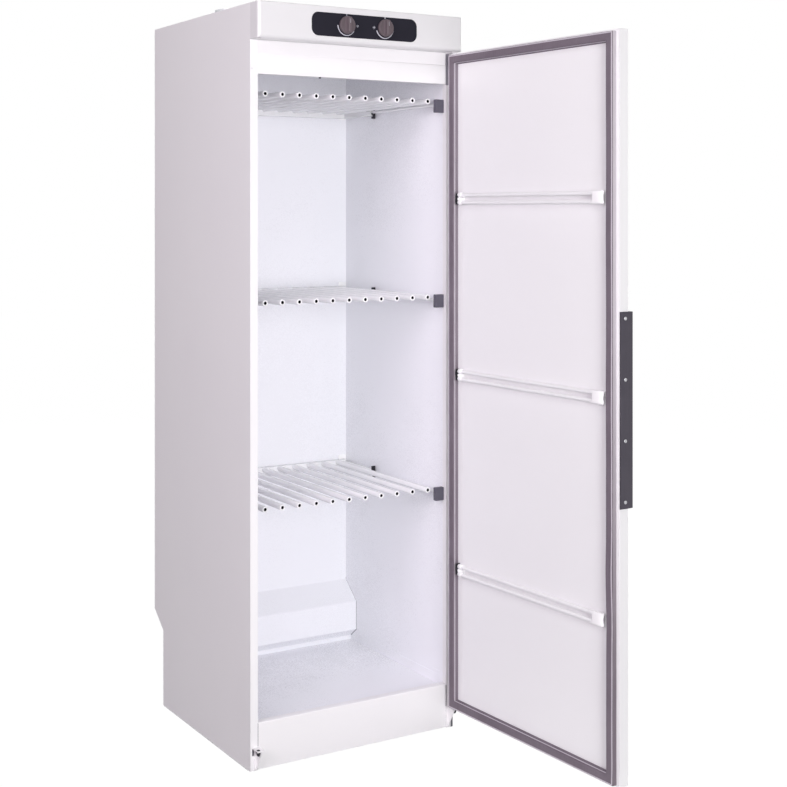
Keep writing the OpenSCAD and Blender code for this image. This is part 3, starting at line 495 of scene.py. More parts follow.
def softened(node, body, width, least=6.0, segments=3, angle=32, finish=None):
    # a merged copy of a CAD node; its longer edges between broad faces get a small radius
    data = nodes[node].data.copy()
    data.name = node + "Edged"
    work = bmesh.new()
    work.from_mesh(data)
    bmesh.ops.remove_doubles(work, verts=work.verts, dist=2e-6)
    bmesh.ops.dissolve_limit(work, angle_limit=math.radians(0.6), verts=work.verts, edges=work.edges)
    weight = work.edges.layers.float.new("bevel_weight_edge")
    for edge in work.edges:
        length = edge.calc_length()
        steep = edge.calc_face_angle(0) > math.radians(angle)  # 0 where there aren't two faces
        if steep and length > least * mm:
            breadth = min(face.calc_area() for face in edge.link_faces) / length
            edge[weight] = float(breadth > 2.1 * width * mm)
    work.to_mesh(data)
    work.free()
    data.materials.clear()
    data.polygons.foreach_set("use_smooth", np.ones(len(data.polygons), bool))
    data.set_sharp_from_angle(angle=math.radians(angle))
    piece = settle(node + "Edged", data, body, slots[node], node, finish=finish)
    bevel = piece.modifiers.new("edges", "BEVEL")
    bevel.limit_method = "WEIGHT"
    bevel.width = width * mm
    bevel.segments = segments
    bevel.harden_normals = True
    return piece


addCamera(camera)
addLamps(lamps)


# hanging racks

tubes = {
    "count": 11, "radius": 7.2, "bore": 4.0, "boreDepth": 60, "cap": 15, "lip": 0.9, "liner": 0.3,
    "sides": 36,
}


def rackLevel(key):
    # height of the middle line of a rack's tubes
    return sum(cadSpan(key + "_rack_tubes"))[2] / 2


def rackTubes(key, t=tubes):
    # each tube is one turned profile: bore, rounded mouth, cap and tube; a near-black cup lines the bore, painted
    # shade inside it
    node = key + "_rack_tubes"
    low, high = cadSpan(node)
    edge = (high[2] - low[2]) / 2
    length = high[1] - low[1]
    bend = arcStops(t["lip"])
    bore, deep, wall, lip = t["bore"], t["boreDepth"], t["liner"], t["lip"]
    tube = [(0, deep), (bore, deep), (bore, lip)]
    tube += [(bore + i, lip - h) for i, h in bend[1:]]
    tube += [(edge - i, lip - h) for i, h in bend[::-1]]
    tube += [(edge, t["cap"] - 0.3), (t["radius"], t["cap"]), (t["radius"], length), (0, length)]
    boreShade = [(0, deep - 1), (bore - wall, deep - 1), (bore - wall, lip), (bore + wall, lip + wall),
           (bore + wall, deep + 1), (0, deep + 1)]
    places = [(x, low[1], rackLevel(key)) for x in np.linspace(low[0] + edge, high[0] - edge, t["count"])]
    for part, profile, look, finish in (("Tubes", tube, ("rack_enamel", node), None),
                                        ("TubeBoreShades", boreShade, ("dark_plastic",), "shade_black")):
        row = Shape(*[lathe(profile, t["sides"], place, (0, 1, 0)) for place in places])
        settle(key + "Rack" + part, row, key + "_rack", *look, finish=finish)


collar = {
    "wide": 11, "corner": 0.9, "ribs": 3, "rib": 0.5,
    "levels": ((-1, -0.68, 0), (-0.72, -0.36, 3.6), (-0.4, -0.04, 0), (-0.08, 0.3, 3.6), (0.26, 1, 0)),
}


def rackCollars(key, c=collar):
    # dark clips in front of the sleeves: stacked blocks, every other one set back, with swelling ribs
    low, high = cadSpan(key + "_rack_bushes")
    half = (high[2] - low[2]) / 2
    middle = (high[2] + low[2]) / 2
    along = np.linspace(0, 1, 20)
    level = low[1] + along[:, None] * (cadSpan(key + "_rack_frame")[0][1] - low[1])
    swell = c["rib"] * (np.sin(along * c["ribs"] * math.pi) ** 2 - 1)
    shape = Shape()
    for side in (-1, 1):
        for foot, head, inset in c["levels"]:
            wide, tall = c["wide"] - inset, (head - foot) * half
            x, z = side * (high[0] - wide / 2), middle + (head + foot) * half / 2
            scale = 1 + 2 * swell[:, None, None] / np.array([wide, tall])
            xz = np.array([x, z]) + roundedRing(wide, tall, c["corner"], 5) * scale
            y = np.broadcast_to(level, xz.shape[:2])
            shape.grid(closed(np.stack([xz[..., 0], y, xz[..., 1]], -1)))
    settle(key + "RackCollars", shape, key + "_rack", "dark_plastic", key + "_rack_bushes")


sleeveHoles = {"radius": 1.9, "places": (7, 17), "lift": 3.5, "sleeveWide": 14, "sleeveHalf": 9.5}


def rackHoles(key, h=sleeveHoles):
    # dark discs on the sleeves' inner faces, near the collars: painted shade of the holes there
    low, high = cadSpan(key + "_rack_frame")
    r = h["radius"]
    plug = [(0, 0.35), (r - 0.5, 0.35), (r, 0), (r, -1), (0, -1)]
    shape = Shape()
    for side in (-1, 1):
        for y in h["places"]:
            place = (side * (high[0] - h["sleeveWide"]), low[1] + y, low[2] + h["sleeveHalf"] + h["lift"])
            shape.grid(lathe(plug, 20, place, (-side, 0, 0)))
    settle(key + "SleeveHoleShades", shape, key + "_rack", "dark_plastic")


for rack in ("low", "mid", "top"):
    rackTubes(rack)
    rackCollars(rack)
    rackHoles(rack)
    softened(rack + "_rack_frame", rack + "_rack", 1.6)
print("racks dressed")

block = {
    "right": (251.7, -271.0, 11.0), "left": (257.0, -241.0, 8.8), "tall": 34, "corner": 1.8, "edge": 1.2,
    "drop": {"low": 9.5, "mid": 9.5, "top": 12.5},
}


def railBlocks(b=block):
    # grey plates on the side walls that carry the rails' front ends, with rounded front edges
    outer = np.abs(nodePoints("front_rail_blocks")[:, 0]).max()
    shape = Shape()
    for side, name in ((-1, "left"), (1, "right")):
        inner, front, deep = b[name]
        for key, drop in b["drop"].items():
            level = rackLevel(key) - drop
            rows = []
            for inset, h in [*arcStops(b["edge"])[::-1], (0, deep)]:
                ring = roundedRing(outer - inner - 2 * inset, b["tall"] - 2 * inset, b["corner"])
                depth = b["edge"] - h if h < deep else deep
                rows.append(ringAt(ring, side * (outer + inner) / 2, front + depth, level))
            shape.grid(closed(rows))
    settle("railBlocks", shape, "cabinet", "grey_plastic", "front_rail_blocks")


railBlocks()


# door gasket

gasket = {
    "headWidth": 20.4, "headTop": 13.5, "leanFrom": 470, "leanTo": 395, "lean": 1.0, "wave": 0.9, "step": 22,
    # closed outline of the pale foot along the outer edge, with a groove at half height
    "foot": ((0.35, 0), (0, 0.4), (0, 3.7), (0.6, 4.2), (0.6, 5.0), (0, 5.5), (0, 9.4), (0.5, 10.1),
             (3.8, 10.1), (3.8, 0)),
}


def headProfile(g):
    # closed outline of the dark strip: distance in from its outer edge, height over the panel
    w, top = g["headWidth"], g["headTop"]
    return np.array([
        (3.4, 0), (3.4, 9.8), (2.2, 10.3), (0.5, 10.8), (0.1, 11.5), (0.2, 12.3), (0.8, 12.8), (1.4, 12.6),
        (3.6, 12.6), (4.2, top), (7.6, top), (8.2, 13.0), (9.0, 13.0), (9.6, top), (14.8, top),
        (15.4, 13.0), (16.2, 13.0), (16.8, top - 0.1), (w - 1.8, top - 0.3), (w - 0.5, 12.6), (w, 11.4),
        (w + 0.4, 7.6), (w + 1.2, 4.2), (w + 2.4, 2.2), (w + 3.4, 1.2), (w + 3.5, 0)])


def beadProfile(u, h, wide, tall):
    # closed oval outline of a fine bead that lies on the gasket, in light grey as a painted highlight line
    a = -np.arange(10) / 10 * turn
    return np.stack([u + np.cos(a) * wide / 2, h + np.sin(a) * tall / 2], -1)


def doorGasket(part, profile, finish, lean, *replaced, g=gasket):
    # the profile is carried round a rectangle; at each corner it lies on the mitre
    low, high = cadSpan("door_gasket", shut=True)
    panel = high[1] - g["headTop"]
    corners = np.array([(low[0], low[2]), (high[0], low[2]), (high[0], high[2]), (low[0], high[2])])
    stations, inward = [], []
    for a, b in zip(corners, np.roll(corners, -1, axis=0)):
        length = np.linalg.norm(b - a)
        along = (b - a) / length
        normal = np.array([-along[1], along[0]])
        t = np.concatenate([[0], np.linspace(30, length - 30, int(length / g["step"]))])
        stations.append(a + along * t[:, None])
        inward.append(np.concatenate([[along + normal], np.tile(normal, (len(t) - 1, 1))]))
    place, inward = np.concatenate(stations), np.concatenate(inward)
    u, h = profile.T
    # on the free side the head leans outwards near the foot, with soft waves round the change
    z = place[:, 1]
    ease = np.clip((g["leanFrom"] - z) / (g["leanFrom"] - g["leanTo"]), 0, 1)
    fade = np.clip((z - low[2]) / 40, 0, 1) * np.clip((high[2] - z) / 40, 0, 1)
    free = (np.abs(place[:, 0] - low[0]) < 1) * fade
    wave = g["wave"] * np.sin(z / 31) * np.exp(-((z - 520) / 190) ** 2) + 0.4 * np.sin(z / 57 + 1)
    push = lean * free * (ease * ease * (3 - 2 * ease) * g["lean"] + wave)
    shift = u - push[:, None] * np.clip((h - 4.5) / 4, 0, 1)
    xz = place[:, None] + inward[:, None] * shift[..., None]
    rows = np.stack([xz[..., 0], np.broadcast_to(panel + h, shift.shape), xz[..., 1]], -1)
    strip = Shape(onDoor(np.concatenate([rows, rows[:1]])))
    settle(part, strip, "door", "gasket_rubber", *replaced, finish=finish, crease=46)


doorGasket("doorGasket", headProfile(gasket), "gasket_rubber", 1, "door_gasket")
doorGasket("gasketFoot", np.array(gasket["foot"]), "gasket_foot", 0)
# the two light grey beads are painted highlights along the head's outer top edge and its inner flank
doorGasket("gasketHighlightBead", beadProfile(2.5, 12.9, 3.0, 1.1), "highlight_bead_grey", 1)
doorGasket("innerHighlightBead", beadProfile(21.4, 9.0, 1.4, 2.8), "highlight_bead_grey", 1)
print("gasket laid")


# door hangers

hanger = {
    "rod": 4.5, "rodGap": 19, "rodFrom": 26, "rodShort": 6,
    "lobe": 6.6, "lobeLong": 7.4, "lobeShift": -4.4, "lobeLift": 0.8,
    "grip": 41, "gripTall": 30, "gripDeep": 12.5, "notch": 14, "hollow": 12.6, "dish": 5.0,
}


def hangerPivot(key):
    # the pivot's place with the door shut
    at = np.array([[p / mm for p in joints[key + "_hanger_swing"]["pos_m"]]])
    return turned(at, -doorAngle)[0]


def doorHanger(key, g=hanger):
    # two turned rods; on their pivot ends sit rounded lobes, on their free ends one grip
    node = key + "_door_hanger"
    tip = cadSpan(node, shut=True)[0][0]
    x0, y0, z0 = hangerPivot(key)
    length = x0 - g["rodShort"] - tip - g["rodFrom"]
    rod = [(0, 0), (g["rod"] - 0.8, 0), (g["rod"], 0.8), (g["rod"], length), (0, length)]
    r, half = g["lobe"], g["lobeLong"]
    lobe = [(0, -half), (r * 0.72, -half), (r * 0.9, 1.4 - half), (r, 4.4 - half), (r, half - 4.6),
            (r * 0.93, half - 2.4), (r * 0.7, half - 0.8), (r * 0.35, half), (0, half + 0.1)]
    rods, ends = Shape(), Shape()
    for sign in (-1, 1):
        z = z0 + sign * g["rodGap"] / 2
        rods.grid(lathe(rod, 28, (tip + g["rodFrom"], y0, z), (1, 0, 0)))
        ends.grid(lathe(lobe, 36, (x0 + g["lobeShift"], y0, z + g["lobeLift"]), (1, 0, 0)))
    # the grip in columns along its length: it thickens from its outer end towards the hollow
    s = np.linspace(0, 1, 34)[:, None]
    run = g["grip"] - g["notch"]
    thick = np.sqrt(1 - 0.72 * (1 - np.clip(s / 0.9, 0, 1)) ** 2)
    tall = 1 - (1 - np.sqrt(1 - (1 - np.clip(s / 0.1, 0, 1)) ** 2)) * 0.16
    u, v = roundedRing(1, 1, 0.22, 7).T
    rows = np.stack([
        tip + s * run + g["dish"] * (1 - s) ** 2 * (1 - (2 * v) ** 2).clip(0),
        y0 + u * g["gripDeep"] * thick,
        z0 + v * g["gripTall"] * tall], -1)
    # two prongs run on over the rods and leave a round hollow; its floor shrinks onto the middle line
    cut = tip + run
    reach = np.linspace(0, 1, 12)[1:, None]
    bay = np.sqrt(np.clip(1 - (v * g["gripTall"] / g["hollow"]) ** 2, 0, 1))
    prong = np.stack([
        cut + g["notch"] * reach * (1 - bay),
        y0 + u * g["gripDeep"] * (1 - 0.06 * reach),
        z0 + v * g["gripTall"] * (1 - 0.05 * reach)], -1)
    fill = np.linspace(1, 0, 10)[1:, None]
    y, z = prong[-1, :, 1] - y0, prong[-1, :, 2] - z0
    bow = np.clip(1 - (z * fill / g["hollow"]) ** 2, 0, 1)
    inner = np.stack([cut + g["notch"] * (1 - np.sqrt(bow)), y0 + y * fill, z0 + z * fill], -1)
    ends.grid(np.concatenate([closed(rows)[:-1], prong, inner]))
    settle(key + "Hanger", rods.moved(onDoor), key + "_hanger", "rack_enamel", node, finish="rod_enamel")
    settle(key + "HangerEnds", ends.moved(onDoor), key + "_hanger", "rack_enamel",
           finish="grip_white", crease=50)


for key in ("low", "mid", "top"):
    doorHanger(key)

bracket = {
    "plate": (11, 25, 2.0, 3.0), "ear": (5.0, 6.0), "pin": 2.5, "pinHalf": 15.4,
    # the dark pad beside the lobes is a painted shadow
    "shadowPad": (254.6, 258.4), "shadowPadTall": 29, "shadowPadCorner": 1.6,
    "shadowPadLevels": ((0, 1), (9.5, 1), (11.2, 0.96), (12, 0.86)),  # height over the panel, size
}


def hangerBrackets(b=bracket):
    # a wall plate with one round ear between the lobes, a pin through all, and beside them a dark pad that is a
    # painted shadow
    base = cadSpan("hanger_brackets", shut=True)[0][1]
    wide, tall, thick, corner = b["plate"]
    plate = roundedRing(wide, tall, corner)
    plateLevels = ((0, 1), (thick - 0.9, 1), (thick - 0.25, 0.975), (thick, 0.93))
    r, half = b["ear"][0], b["ear"][1] / 2
    earLevels = ((-half, 0.93), (-0.7 * half, 1), (0.7 * half, 1), (half, 0.93))
    p, reach = b["pin"], b["pinHalf"]
    s0, s1 = b["shadowPad"]
    shadowPad = roundedRing(s1 - s0, b["shadowPadTall"], b["shadowPadCorner"])
    a = np.linspace(0, math.pi, 22)
    white, pins, dark = Shape(), Shape(), Shape()
    for key in ("low", "mid", "top"):
        x0, y0, z0 = hangerPivot(key)
        white.grid(stacked(plate, plateLevels, x0, base, z0))
        # the ear: a half circle about the pin, run straight down to the plate
        foot = base + 1 - y0
        ear = np.concatenate([np.stack([np.cos(a), np.sin(a)], -1) * r, [(-r, foot), (r, foot)]])
        white.grid(stacked(ear, earLevels, x0, y0, z0, 2))
        pins.grid(lathe([(0, -reach), (p, -reach), (p, reach), (0, reach)], 24, (x0, y0, z0), (0, 0, 1)))
        # the dark pad: a painted shadow beside the lobes
        dark.grid(stacked(shadowPad, b["shadowPadLevels"], (s0 + s1) / 2, base, z0))
    settle("hangerBrackets", white.moved(onDoor), "door", "white_plastic", "hanger_brackets",
           finish="grip_white", crease=50)
    settle("hangerPins", pins.moved(onDoor), "door", "screw_steel", "hanger_pins")
    settle("hangerShadowPads", dark.moved(onDoor), "door", "white_plastic", finish="dark_plastic")


hangerBrackets()
print("hangers made")


# screws

def crossHead(centre, axis, radius, height, slotWide=0.16, sides=48):
    # a domed screw head; the cross recess is a dip where either slot's distance is small
    u, v, w = axesOf(axis)
    rho = np.concatenate([np.linspace(0, 1, 16), [1, 1]])
    r, t = np.meshgrid(rho, np.arange(sides) / sides * turn, indexing="ij")
    dome = height * np.sqrt(np.clip(1 - (r * 0.82) ** 2, 0, 1))
    x, z = r * np.cos(t), r * np.sin(t)
    near = np.minimum(np.abs(x), np.abs(z))
    dip = np.clip((slotWide - near) / 0.08, 0, 1) * np.clip((0.62 - r) / 0.1, 0, 1)
    h = dome - dip * height * 0.62
    h[-2] *= 0.4
    h[-1] = -0.3
    middle = np.array(centre, float)
    top = middle + (x * radius)[..., None] * u + (z * radius)[..., None] * v + h[..., None] * w
    foot = np.broadcast_to(middle - 0.3 * w, top[:1].shape)
    return np.concatenate([top, foot])


screws = {"perRow": 4, "margin": 4, "radius": 4.0, "stem": 1.95}


def screwShape(places, axis, rise, stem, point, s=screws):
    # domed heads that look along an axis, each with a stem that ends in a point
    profile = [(0, -0.2), (s["stem"], -0.2), (s["stem"], stem), (0, point)]
    shape = Shape()
    for place in places:
        shape.grid(crossHead(place, axis, s["radius"], rise))
        shape.grid(lathe(profile, 20, place, -np.array(axis)))
    return shape


def levelsOf(low, high, s=screws):
    return np.linspace(low[2] + s["margin"], high[2] - s["margin"], s["perRow"])


def handleScrews():
    low, high = cadSpan("handle_screws", shut=True)
    places = [(low[0] + 1.6, (low[1] + high[1]) / 2, level) for level in levelsOf(low, high)]
    shape = screwShape(places, (-1, 0, 0), 2.4, 12, 14)
    settle("handleScrews", shape.moved(onDoor), "door", "screw_steel", "handle_screws")


def backScrews():
    low, high = cadSpan("back_screws")
    x, y = high[0] - 4, high[1] - 2
    places = [(side * x, y, level) for side in (-1, 1) for level in levelsOf(low, high)]
    shape = screwShape(places, (0, 1, 0), 2.0, 4.5, 6)
    settle("backScrews", shape, "cabinet", "screw_steel", "back_screws")


handleScrews()
backScrews()


# controls

knob = {
    "disc": 7, "grip": 11, "bar": 10.5, "edge": 1.8, "sides": 72,
    "flare": 0.55, "crown": 3.4, "taper": 3.0, "waist": 0.16,
}


def dialKnob(key, body, k=knob):
    # a turned disc with a rounded rim, and a grip bar with drawn-in flanks that widens to its foot
    node = key + "_knob"
    low, high = cadSpan(node)
    x, _, z = (low + high) / 2
    radius = (high[0] - low[0]) / 2
    back = high[1]
    plate = [(0, 0), (radius - 0.6, 0), (radius, 0.6)]
    plate += [(radius - i, k["disc"] - k["edge"] + h) for i, h in arcStops(k["edge"], 6)]
    plate += [(radius - 4.5, k["disc"] - 0.1), (radius - 5.2, k["disc"] - 0.7), (0, k["disc"] - 0.7)]
    rows = []
    for s in np.linspace(0, 1, 14):
        h = k["disc"] - 1 + s * (k["grip"] + 1)
        crown = max(0.0, s - 0.86) / 0.14
        drop = k["crown"] * (1 - math.sqrt(max(0.0, 1 - crown * crown)))
        wide = k["bar"] * (1 + k["flare"] * (1 - s) ** 3) - drop
        tall = 2 * radius - 2.6 - k["taper"] * s - drop
        ring = roundedRing(wide, tall, min(wide, tall) / 2 * 0.62, 8)
        ring[:, 0] *= 1 - k["waist"] * np.cos(ring[:, 1] / (tall / 2) * math.pi / 2) * (1 - s * 0.3)
        rows.append(ringAt(ring, x, back - h, z))
    shape = Shape(lathe(plate, k["sides"], (x, back, z), (0, -1, 0)), closed(rows))
    settle(key + "Knob", shape, body, "knob_plastic", node, crease=40)
    # the pointer line lies on the crown of the bar, towards twelve o'clock
    ring = roundedRing(0.9, radius * 0.5, 0.42, 4)
    top = k["disc"] + k["grip"]
    line = Shape(stacked(ring, ((0.8, 1), (-0.12, 1)), x, back - top, z + radius * 0.42))
    settle(key + "Pointer", line, body, "knob_plastic", finish="print_grey")


dialKnob("timer", "timer_dial")
dialKnob("mode", "mode_dial")


marks = {
    "arcInner": 23.9, "arcThin": 1.4, "arcThick": 3.0, "raise": 0.12, "tick": (23.9, 27.6),
    "sweep": {"timer": (182, 328), "mode": (196, 372)},  # degrees, anticlockwise from three o'clock
    "spot": {"timer": 31.5, "mode": -32.5},
}


def band(x, z, face, angles, inner, outer, lift):
    # a flat printed band between two radii, from angle to angle, with its own small thickness
    a = np.radians(angles)
    arc = np.stack([np.cos(a), np.sin(a)], -1)
    edges = ((inner, 0.2), (inner, -lift), (outer, -lift), (outer, 0.2))
    return closed(np.stack([ringAt(arc * np.reshape(r, (-1, 1)), x, face + y, z) for r, y in edges], 1))


def disc(x, z, face, inner, outer, lift):
    # a printed dot, or a ring where it has an inner radius, turned about the dial's direction
    profile = [(inner, lift), (outer, lift), (outer, -0.2), (inner, -0.2)] + [(inner, lift)] * (inner > 0)
    return lathe(profile, 30, (x, face, z), (0, -1, 0))


def dialMarks(m=marks):
    # plain scale marks round both dials: a swelling arc, a tick at twelve, and a dot or a sun
    shape = Shape()
    face, lift = cadSpan("control_insert")[0][1], m["raise"]
    for key, (start, end) in m["sweep"].items():
        x, _, z = sum(cadSpan(key + "_knob")) / 2
        a = np.linspace(start, end, 60)
        outer = m["arcInner"] + m["arcThin"] + (m["arcThick"] - m["arcThin"]) * ((end - a) / (end - start))
        shape.grid(band(x, z, face, a, m["arcInner"], outer, lift))
        shape.grid(band(x, z, face, np.linspace(87, 93, 4), *m["tick"], lift))
        spot = x + m["spot"][key]
        if key == "timer":
            shape.grid(disc(spot, z, face, 1.9, 2.7, lift))
            shape.grid(disc(spot, z, face, 0, 0.7, lift))
        else:
            shape.grid(disc(spot, z, face, 0, 1.7, lift))
            for k in range(8):
                shape.grid(band(spot, z, face, np.linspace(k * 45 - 6, k * 45 + 6, 3), 2.6, 4.3, lift))
    settle("dialMarks", shape, "cabinet", "anthracite_plastic", finish="print_grey")


dialMarks()

insert = {"wide": 307, "tall": 57.5, "corner": 19, "edge": 0.9}


def controlInsert(i=insert):
    # the dark insert: a plate with a fine chamfer, over the flange that holds it in the fascia
    low, high = cadSpan("control_insert")
    x, _, z = (low + high) / 2
    rings = [(0.0, i["edge"]), (0.25, 0.35), (i["edge"], 0), (2.5, 0), (2.5, -5), (high[1] - low[1], -5)]
    size = np.array([i["wide"], i["tall"]])
    levels = [(d, 1 - 2 * inset / size) for d, inset in rings]
    plate = stacked(roundedRing(*size, i["corner"], 16), levels, x, low[1], z)
    settle("controlInsert", Shape(plate), "cabinet", "anthracite_plastic", "control_insert")


controlInsert()
print("controls made")


# fascia

fascia = {"wall": 2.5, "lip": 9.0, "crown": 2.2, "end": 8.0, "corner": 1.2, "mouth": 0.6, "steps": 10}


def fasciaShell(f=fascia, i=insert):
    # rings from the insert's opening over the face and its rounded edges to the wall's inside
    low, high = cadSpan("fascia")
    xm, _, zm = sum(cadSpan("control_insert")) / 2
    depth, w, end, lip, crown = high[1] - low[1], f["wall"], f["end"], f["lip"], f["crown"]

    def mouth(d, grow):
        ring = roundedRing(i["wide"] + 0.1 + 2 * grow, i["tall"] + 0.1 + 2 * grow, i["corner"] + grow, 12)
        return ringAt(ring, xm, low[1] + d, zm)

    def edge(d, end, lip, crown):
        x0, x1, z0, z1 = low[0] + end, high[0] - end, low[2] + lip, high[2] - crown
        ring = roundedRing(x1 - x0, z1 - z0, f["corner"], 12)
        return ringAt(ring, (x0 + x1) / 2, low[1] + d, (z0 + z1) / 2)

    def setBack(d, r):  # how far a quarter round of radius r stands in at depth d
        return r - math.sqrt(r * r - max(0.0, r - d) ** 2)

    rows = [mouth(w, 0), mouth(f["mouth"], 0), mouth(0, f["mouth"]), edge(0, end + 1, lip + 1, crown + 1)]
    for a in np.linspace(0, turn / 4, f["steps"]):
        d = lip * (1 - math.cos(a))
        rows.append(edge(d, setBack(d, end), setBack(d, lip), setBack(d, crown)))
    rows += [edge(depth, 0, 0, 0), edge(depth, w, w, w), edge(lip + w, w, w, w), edge(w, end, lip, w + 1),
             mouth(w, 0)]
    settle("fasciaShell", Shape(np.stack(rows)), "cabinet", "white_plastic", "fascia", crease=30)


fasciaShell()


# sheet metal

def roundedPath(corners, radius, steps=6):
    # a polyline whose inner corners are replaced by arcs of the given radius
    corners = np.array(corners, float)
    path = [corners[:1]]
    for a, b, c in zip(corners, corners[1:], corners[2:]):
        before, after = np.linalg.norm(a - b), np.linalg.norm(c - b)
        u, v = (a - b) / before, (c - b) / after
        half = math.acos(np.clip(u @ v, -1, 1)) / 2
        reach = min(radius / math.tan(half), before * 0.45, after * 0.45)
        t = np.linspace(0, 1, steps)[:, None]
        path.append((1 - t) ** 2 * (b + u * reach) + 2 * t * (1 - t) * b + t ** 2 * (b + v * reach))
    return np.concatenate(path + [corners[-1:]])


def sheetStrip(path, thickness, left, right):
    # a bent sheet: the path's (y, z) points and their offset to its left, from x = left to right
    step = np.gradient(path, axis=0)
    normal = np.stack([-step[:, 1], step[:, 0]], -1) / np.linalg.norm(step, axis=1, keepdims=True)
    back = path + normal * thickness
    edges = ((left, path), (right, path), (right, back), (left, back))
    return closed(np.stack([np.insert(q, 0, x, axis=1) for x, q in edges], 1))


backWall = {
    "sheet": 1.2, "stepTop": 273, "stepHigh": 221, "stepLow": 141, "stepFront": 156.5, "foot": 117.5,
    "bend": 5.0,
}
wallRib = {"low": 1566, "inset": 6, "length": 122, "width": 3.2, "height": 0.5}


def wallCorners(w, top):
    # side view of the compartment's back: down from the top, over the step, to the tray's back edge
    back, tray = cadSpan("inner_back_wall")[1][1] - w["sheet"], cadSpan("floor_tray")[1][1]
    return [(back, top), (back, w["stepTop"]), (w["stepFront"], w["stepHigh"]),
            (w["stepFront"], w["stepLow"]), (tray, w["foot"])]


def innerBackWall(w=backWall, r=wallRib):
    # the compartment's back with its step, in one bent sheet, and a short pressed rib high on the left
    low, high = cadSpan("inner_back_wall")
    corners = wallCorners(w, high[2])
    back, tray = corners[0][0], corners[-1][0]
    path = roundedPath(corners + [(tray, low[2])], w["bend"])
    a = np.linspace(0, math.pi, 9)
    x = np.linspace(low[0] + r["inset"], low[0] + r["inset"] + r["length"], 24)
    taper = np.clip(np.minimum(x - x[0], x[-1] - x) / 8, 0.02, 1)[:, None]
    y = back + 0.1 - np.sin(a) * (r["height"] * taper + 0.1)
    z = r["low"] + np.cos(a) * r["width"] / 2 * taper
    rib = np.stack([np.broadcast_to(x[:, None], y.shape), y, z], -1)
    shape = Shape(sheetStrip(path, w["sheet"], low[0], high[0]), closed(rib))
    settle("innerBackWall", shape, "cabinet", "inner_enamel", "inner_back_wall", crease=50)


innerBackWall()

for node in ("left_side_panel", "right_side_panel", "top_panel", "header_panel", "plinth", "base_frame"):
    softened(node, "cabinet", 1.0, 10.0)
for node in ("lower_hinge_bracket", "spare_hinge_bracket", "upper_hinge_bracket"):
    softened(node, "cabinet", 0.8, 2.5)
softened("door_outer_skin", "door", 1.6, 12.0)
softened("door_inner_panel", "door", 0.5, 12.0, 2, finish="door_enamel")
softened("door_handle", "door", 1.0, 8.0)
print("sheets softened")


# small fittings

def patchPlate(x0, x1, z0, z1, face, lift, corner, across=1, sign=-1):
    # a thin plate with rounded corners and edges that lies on a plane, lifted along the plane's normal
    size = np.array([x1 - x0, z1 - z0])
    centre = np.insert([(x0 + x1) / 2, (z0 + z1) / 2], across, face)
    rings = ((-0.6, 0), (lift * 0.5, 0), (lift * 0.85, lift * 0.25), (lift, lift * 0.7))
    levels = [(sign * d, 1 - 2 * inset / size) for d, inset in rings]
    return stacked(roundedRing(*size, corner, 8), levels, *centre, across)


fittings = {
    "cover": (274.5, 284.5, 1668, 1750), "plug": (-292.8, 1682.7, 2.4), "contact": (-101, 1670.5),
    "slot": (-293.25, -285.75, 36, 58), "holeShade": 59.7,
}


def frontFittings(f=fittings):
    # the hinge's cover strip, a plug in the left stile, the door contact's tip and the slot's backing
    front = cadSpan("left_side_panel")[0][1]
    cover = Shape(patchPlate(*f["cover"], front, 0.22, 3.5))
    settle("hingeCover", cover, "cabinet", "grey_plastic", finish="cover_grey")
    x, z, r = f["plug"]
    dome = [(0, 0.5), (r * 0.6, 0.42), (r * 0.9, 0.2), (r, 0), (r, -0.8), (0, -0.8)]
    settle("stilePlug", Shape(lathe(dome, 24, (x, front, z), (0, -1, 0))), "cabinet", "white_plastic")
    x, z = f["contact"]
    tip = [(0, 3.2), (1.6, 3.1), (2.4, 2.6), (2.7, 1.8), (2.7, -3), (0, -3)]
    settle("doorContact", Shape(lathe(tip, 24, (x, front + 5, z), (0, 0, -1))), "cabinet", "dark_plastic")
    slot = Shape(patchPlate(*f["slot"], front + 2.2, 0.3, 2))
    settle("slotBacking", slot, "cabinet", "dark_plastic", finish="seam_and_shade_grey")
    # a dark cap on the spare pin hole, painted shade of the hole, and under both brackets' plates a dark cone,
    # painted shadow under the plate
    holeShade = [(0, 0.9), (2.6, 0.8), (3.8, 0.4), (4.1, 0), (4.1, -0.8), (0, -0.8)]
    shadowCone = [(0, 0), (5.6, 0), (5.2, -2.8), (3.4, -9.4), (2.4, -11), (0, -11.2)]
    plug = Shape(lathe(holeShade, 32, (-hingeX, hingeY, f["holeShade"]), (0, 0, 1)))
    for side in (-1, 1):
        plug.grid(lathe(shadowCone, 32, (side * hingeX, hingeY, f["holeShade"] - 2.6), (0, 0, 1)))
    settle("bracketShades", plug, "cabinet", "dark_plastic")


frontFittings()

seams = {"wide": 0.9, "proud": 0.5}


def compartmentSeams(w=backWall, m=seams):
    # dark sealant in the corner between the side walls, the stepped back wall and the floor tray
    path = roundedPath(wallCorners(w, w["stepTop"] + 4), w["bend"], 5)
    a = np.arange(8) / 8 * turn
    ring = np.stack([np.cos(a) * m["proud"], np.sin(a) * m["wide"], np.sin(a) * m["wide"]], -1)
    x = cadSpan("inner_back_wall")[1][0] - 0.1
    runs = [closed(np.insert(path, 0, side * x, axis=1)[:, None] + ring) for side in (-1, 1)]
    settle("cornerSeams", Shape(*runs), "cabinet", "inner_enamel", finish="seam_and_shade_grey")


compartmentSeams()

# these strips paint shade in gaps and a shadow under the fascia's corner
gaps = {  # left, right, low and high edge
    "left": (-276.9, -275.7, 60, 115), "right": (274.9, 277.1, 8, 114), "foot": (290.5, 296.5, 3, 30),
    "fascia": (-296.4, -285, 1751.9, 1753.3), "fasciaBack": 7.6,
}


